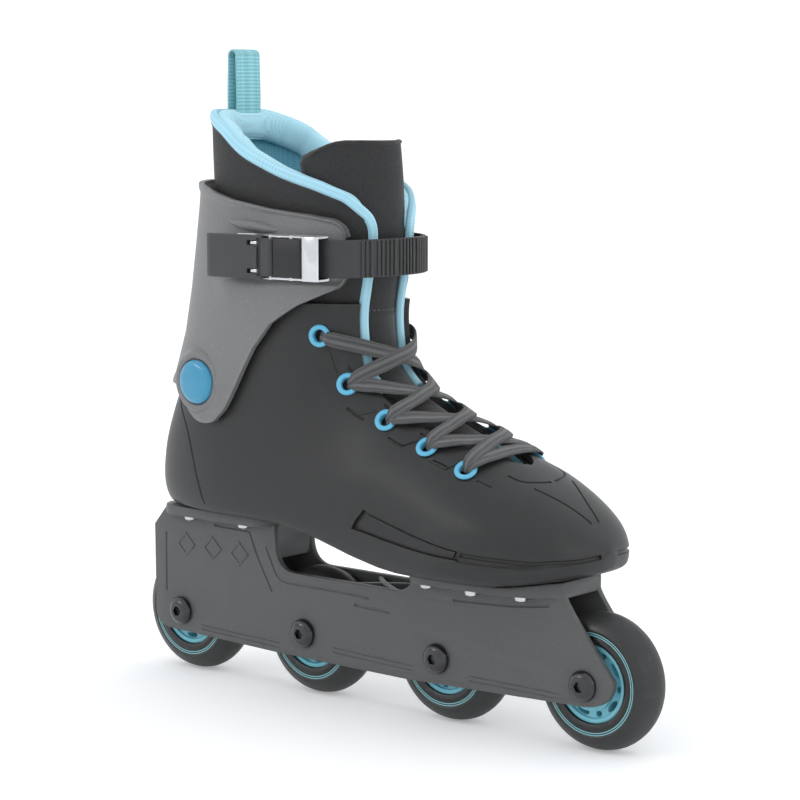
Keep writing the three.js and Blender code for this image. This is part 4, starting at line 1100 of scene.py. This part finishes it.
inside, outside = frameLook["inside"], frameLook["outside"]
frameParts = [sideBlock(plateOutline(), inside, outside), sideBlock(plateOutline(), -outside, -inside)]
for plate in frameParts:
    rounded(plate, frameLook["edge"], 2, 50)
rearStart, rearEnd, frontStart, frontEnd = axles[0] - 9.5, axles[1] - 21.8, axles[2] - 15.4, axles[3] - 12.5
rearHalf, frontHalf = frameLook["rearHalf"], frameLook["frontHalf"]
rearPlan = [(rearStart, -outside)]
rearPlan += arc(rearPlan[-1], (rearStart + 3, -rearHalf), (rearStart + 14, -rearHalf), 6)
rearPlan += [(rearEnd - 10, -rearHalf)]
rearPlan += arc(rearPlan[-1], (rearEnd - 1, -rearHalf), (rearEnd, -outside), 6)
top = frameLook["rearTop"]
rearDeck = planBlock(mirroredPlan(rearPlan), top - frameLook["deck"], top)
frontPlan = [(frontStart, -outside - 3)]
frontPlan += arc(frontPlan[-1], (frontStart + 3, -frontHalf), (frontStart + 16, -frontHalf), 6)
frontPlan += [(frontEnd - 34, -frontHalf)]
frontPlan += arc(frontPlan[-1], (frontEnd - 14, 1 - frontHalf), (frontEnd - 8, -outside - 2), 6) + [(frontEnd, -outside)]
frontSide = [(frontStart, deckZ), (95, deckZ), (frontEnd, between(soleLine, frontEnd) + deckZ - 0.3), (frontEnd, 76.5),
             (frontStart, 74.5)]
frontDeck = combine(planBlock(mirroredPlan(frontPlan), 60, 100), [sideBlock(frontSide, -60, 60)], "INTERSECT")
for deck in (rearDeck, frontDeck):
    rounded(deck, frameLook["edge"], 2, 50)
frameParts += [rearDeck, frontDeck]
for x, long, low, high in ((rearEnd - 3.7, 4.5, 73, top - 0.5), (rearStart - 2, 3.6, 75, top - 3)):
    frameParts.append(sideBlock([(x, low), (x + long, low), (x + long, high), (x, high)], -inside - 1, inside + 1))
for side in (-1, 1):
    reach = side * (inside + 0.5)
    rib = [(-18, -reach)] + arc((-18, -reach), (-2, reach * 0.5), (18, reach)) + [(18, reach - side * 2.6)] + \
        arc((18, reach - side * 2.6), (2, reach * 0.4 - side * 2.6), (-15.4, -reach))
    frameParts.append(rounded(planBlock(rib, 57, 66), 0.4))
skateFrame = combine(frameParts[0], frameParts[1:], "UNION")
cuts = []
for side in (-1, 1):
    r = frameLook["groove"]
    for points in ([(-74, 79), (-70.5, 72.5), (-66, 64.6), (-61, 61.6), (-52, 61), (-27, 61.1), (0, 60.5)],
                   [(-10, 55.4), (15, 54.6)], [(-151, 45), (-151, 78.5)], [(-113, 86.6), (-86, 86.2)],
                   [(-86, 86), (-80, 72.7), (-69.6, 55)], [(57, 67), (93, 69), (118, 72)]):
        cuts.append(sideCord(points, side, r * 1.3))
    for points in ([(-123, 28.6), (-64, 27)], [(-25, 30), (30, 28.6)], [(68, 29), (124, 28.7)]):
        cuts.append(sideCord(points, side, r * 0.8))
        cuts.append(sideCord([(x, z - 2.4) for x, z in points], side, r * 0.8))
    for x in axles:
        cuts.append(turned("bore", [(0, -3), (4, -3), (4, 6), (0, 6)], (x, side * 14, 35), (0, side, 0), 24))
combine(skateFrame, cuts)
marks = []
for side in (-1, 1):
    for x, z in ((-135.6, 73.4), (-115, 73.4), (-94.5, 72.7)):
        diamond = [(x - 7.5, z), (x, z - 7), (x + 7.5, z), (x, z + 7)]
        hollow = [(x + (p - x) * 0.72, z + (q - z) * 0.72) for p, q in diamond]
        plate = sideBlock(diamond, side * (outside - 0.5), side * (outside + 0.45))
        combine(plate, [sideBlock(hollow, side * (outside - 2), side * (outside + 2))])
        marks.append(rounded(plate, 0.12))
skateFrame = join("skateFrame", [skateFrame] + marks)
finish(skateFrame, framePlastic, "boot", "frame_plastic", "frame")
rivetProfile = [(0, -2.6), (2.2, -2.4), (3.4, -1.4), (3.7, 0), (3.7, 1), (0, 1)]
rivetPlaces = [(-127, 20.5, 90.6), (-86, 20.5, 90.6), (44, 21.5, 74.4), (74, 22.5, 74.6), (104, 20.5, 75.4)]
rivets = [turned("rivet", rivetProfile, (x, side * y, z), (0, 0, 1), 24) for side in (-1, 1) for x, y, z in rivetPlaces]
finish(join("frameRivets", rivets), steel, "boot", "steel")
print("frame done")


# wheels: tyre, hub with windows, bearings, bolt and nut, each modelled once and copied

wheelLook = {"radius": 35, "half": 11.9, "seat": 20, "rim": 9.3, "windows": 10, "windowRadius": 15.5, "boltRadius": 8,
             "boltHeight": 4, "face": 16.5, "hex": 2.9}


def tyreProfile():
    half, radius, seat = wheelLook["half"], wheelLook["radius"], wheelLook["seat"]
    side = [(seat + 0.3, half - 1.3), (21.2, half - 0.9), (23.1, half - 0.85), (23.4, half - 1.05), (26.7, half - 1.05),
            (27, half - 0.85)]
    crown = [(radius * r, half - h) for r, h in (
        (0.79, 1.0), (0.82, 1.4), (0.85, 1.95), (0.88, 2.6), (0.91, 3.5), (0.935, 4.6), (0.955, 5.8), (0.972, 7.2),
        (0.985, 8.6), (0.994, 10.1), (0.9985, 11.2))]
    line = side + crown
    return line + [(radius, 0)] + [(r, -h) for r, h in reversed(line)] + [line[0]]


tyreSteps = len(tyreProfile()) - 1


def tyreFinish():
    look = Finish("urethane", (0.03, 0.03, 0.031), 0.42)
    u, v, _ = look.split(look.uv())
    near = look.maths("MINIMUM", v * tyreSteps, tyreSteps - v * tyreSteps)
    grime = look.noise(30, 5)
    scuffs = look.steps(look.noise(140, 5, roughness=0.75), 0.5, 0.72)
    tread = look.steps(near, 8.5, 12)
    ring = look.maths("MINIMUM", look.steps(near, 2.3, 2.9), look.steps(near, 4.6, 4.1))
    base = look.mix(grime, (0.011, 0.011, 0.0112), (0.02, 0.02, 0.0205))
    worn = look.mix(scuffs, (0.02, 0.02, 0.0205), (0.036, 0.036, 0.0355))
    look.colour(look.mix(ring, look.mix(tread, base, worn), (0.006, 0.006, 0.0065)))
    look.rough(tread * 0.2 + scuffs * 0.12 + 0.32 - ring * 0.12)
    look.bump(look.noise(420, 4) + scuffs * tread, 0.06)
    return look.material


urethane = tyreFinish()
tyrePattern = turned("tyrePattern", tyreProfile(), segments=120)
lineLook = {"radii": (24.7, 25.8), "half": 0.22, "high": 0.12, "drop": 1.08}


def lineRing(radius, side):
    a, b = radius - lineLook["half"], radius + lineLook["half"]
    low = wheelLook["half"] - lineLook["drop"]
    high = low + lineLook["high"]
    return turned("line", [(a, low), (a, high), (b, high), (b, low), (a, low)], (0, 0, 0), (0, side, 0), 120)


linePattern = join("linePattern", [lineRing(radius, side) for side in (-1, 1) for radius in lineLook["radii"]])


def hubPattern():
    seat, rim, boss, lip, pocket = wheelLook["seat"], wheelLook["rim"], 13.6, 11.5, 11.25
    out = wheelLook["windowRadius"]
    line = [(seat, rim), (seat - 0.5, rim + 0.3), (seat - 2.0, rim + 0.3), (seat - 2.4, rim),
            (seat - 2.6, 7.9), (boss, 7.7), (boss, lip - 0.5), (boss - 0.5, lip), (pocket + 0.3, lip), (pocket, lip - 0.3), (pocket, 5), (9.2, 5)]
    hub = turned("hubPattern", line + [(r, -h) for r, h in reversed(line)] + [line[0]], segments=96)
    for k in range(wheelLook["windows"]):
        angle = 2 * math.pi * k / wheelLook["windows"]
        long, wide = (3.9, 1.75) if k % 2 else (1.8, 1.6)
        middle = Vector((out * math.cos(angle), -14, out * math.sin(angle)))
        e1, e2 = Vector((-math.sin(angle), 0, math.cos(angle))), Vector((math.cos(angle), 0, math.sin(angle)))
        oval = [(long * math.cos(a), wide * math.sin(a)) for a in [2 * math.pi * j / 20 for j in range(20)]]
        combine(hub, [prism("window", oval, lambda a, b, m=middle, p=e1, q=e2: m + p * a + q * b, (0, 28, 0))])
    return rounded(hub, 0.2, 2, 50)


def bearingPattern():
    races = [(4.2, 5.4), (4.2, 12.3), (5.8, 12.3), (6.0, 12.0), (6.0, 11.8), (9.3, 11.8), (9.3, 12.0), (9.5, 12.3), (11, 12.3),
             (11, 5.4), (4.2, 5.4)]
    return turned("bearingPattern", races, segments=64)


def boltPattern():
    face, radius, high = wheelLook["face"], wheelLook["boltRadius"], wheelLook["boltHeight"]
    line = [(0, face - 2), (3.8, face - 2), (3.8, face), (radius - 0.2, face), (radius, face + 0.3), (radius - 0.1, face + 1.1),
            (radius - 0.6, face + 2.2), (radius - 1.5, face + 3.1), (radius - 2.7, face + 3.7),
            (radius - 3.9, face + high), (2.95, face + high), (0, face + high)]
    bolt = turned("boltPattern", line, segments=64)
    combine(bolt, [prism("hex", hexagon(wheelLook["hex"]), lambda a, b: (a, face + 1.4, b), (0, 6, 0))])
    return rounded(bolt, 0.15, 2, 50)


hubOne, bearingOne, boltOne = hubPattern(), bearingPattern(), boltPattern()
for n, x in enumerate(axles, 1):
    shift = Vector((x, 0, 35)) * mm
    body = f"wheel_{n}"
    spin = math.radians(17 * n)  # no two wheels stand at the same turn

    def toPlace(co, shift=shift, spin=spin):
        return Vector((co.x * math.cos(spin) - co.z * math.sin(spin), co.y, co.x * math.sin(spin) + co.z * math.cos(spin))) + shift

    finish(copyOf(tyrePattern, f"tyreBody_{n}", toPlace), urethane, body, "urethane", f"tyre_{n}", smooth=40)
    finish(copyOf(linePattern, f"tyreLines_{n}", toPlace), tealLine, body, "urethane")
    finish(copyOf(hubOne, f"hubCore_{n}", toPlace), hubTeal, body, "hub_plastic", f"hub_{n}")
    for side, label in ((-1, "lateral"), (1, "medial")):
        flip = (lambda co, side=side, shift=shift: Vector((co.x * -side, co.y * side, co.z)) + shift)
        finish(copyOf(bearingOne, f"bearingRaces_{label}_{n}", flip), steel, body, "steel", f"bearing_{label}_{n}")
        turn = (lambda co, side=side, shift=shift: Vector((co.x * side, co.y * side, co.z)) + shift)
        name, node = (f"boltHead_{n}", f"axle_bolt_{n}") if side < 0 else (f"nutHead_{n}", f"axle_nut_{n}")
        finish(copyOf(boltOne, name, turn), blackSteel, "boot", "black_steel", node)
for pattern in (tyrePattern, linePattern, hubOne, bearingOne, boltOne):
    bpy.data.objects.remove(pattern)
print("wheels done")

# the frame's own nodes that stay as they are
kept = {"buckle_rivet": steel, "lever_pin": steel, "pawl_pin": steel, "pawl_spring": steel}
kept.update({f"spacer_{n}": steel for n in range(1, 5)})
kept.update({f"cuff_pivot_pin_{label}": steel for label in ("lateral", "medial")})
for name, material in kept.items():
    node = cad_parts[name]
    node.data.materials.clear()
    node.data.materials.append(material)


# floor, light and camera

stageLook = {"flat": 2.4, "rise": 1.1, "tone": (0.9, 0.905, 0.91), "glow": 0.24, "air": (0.985, 0.99, 1, 1), "airStrength": 0.58}


def backdrop():
    flat, rise = stageLook["flat"], stageLook["rise"]
    profile = [(0, 0), (flat * 500, 0), (flat * 1000, 0)]
    profile += [(flat * 1000 + rise * 1000 * math.sin(a), rise * 1000 * (1 - math.cos(a)))
                for a in [math.pi / 2 * k / 14 for k in range(1, 15)]]
    bowl = turned("studioFloor", profile, (0, 0, -0.2), (0, 0, 1), 96)
    onlySelect(bowl)
    bpy.ops.object.shade_smooth()
    look = Finish("floorPaper", stageLook["tone"], 0.9, Emission_Color=(0.98, 0.99, 1, 1), Emission_Strength=stageLook["glow"])
    look.colour(look.mix(look.noise(3, 2), shade(stageLook["tone"], 0.985), stageLook["tone"]))
    bowl.data.materials.append(look.material)


def softLight(name, place, aim, size, power):
    lamp = bpy.data.lights.new(name, "AREA")
    lamp.shape, lamp.size, lamp.energy = "DISK", size, power
    holder = bpy.data.objects.new(name, lamp)
    scene.collection.objects.link(holder)
    holder.location = place
    holder.rotation_euler = (Vector(aim) - Vector(place)).to_track_quat("-Z", "Y").to_euler()


backdrop()
world = bpy.data.worlds.new("studioAir")
scene.world = world
world.use_nodes = True
world.node_tree.nodes["Background"].inputs["Color"].default_value = stageLook["air"]
world.node_tree.nodes["Background"].inputs["Strength"].default_value = stageLook["airStrength"]
softLight("topBox", (0.1, -0.2, 2.0), (0, 0, 0.1), 1.6, 18)
softLight("keyBox", (-1.0, -1.5, 1.2), (0, 0, 0.15), 1.0, 10)
softLight("fillBox", (1.7, 0.2, 0.9), (0, 0, 0.15), 1.2, 4)
scene.view_settings.view_transform = "Standard"

cameraLook = {"place": (0.8216, -0.9708, 0.3229), "aim": (0.0079, 0, 0.16485), "lens": 109.4, "sensor": 36}
camera = bpy.data.objects.new("viewCamera", bpy.data.cameras.new("viewCamera"))
scene.collection.objects.link(camera)
camera.data.lens, camera.data.sensor_width = cameraLook["lens"], cameraLook["sensor"]
camera.data.clip_start, camera.data.clip_end = 0.02, 30
camera.location = cameraLook["place"]
camera.rotation_euler = (Vector(cameraLook["aim"]) - Vector(cameraLook["place"])).to_track_quat("-Z", "Y").to_euler()
scene.camera = camera
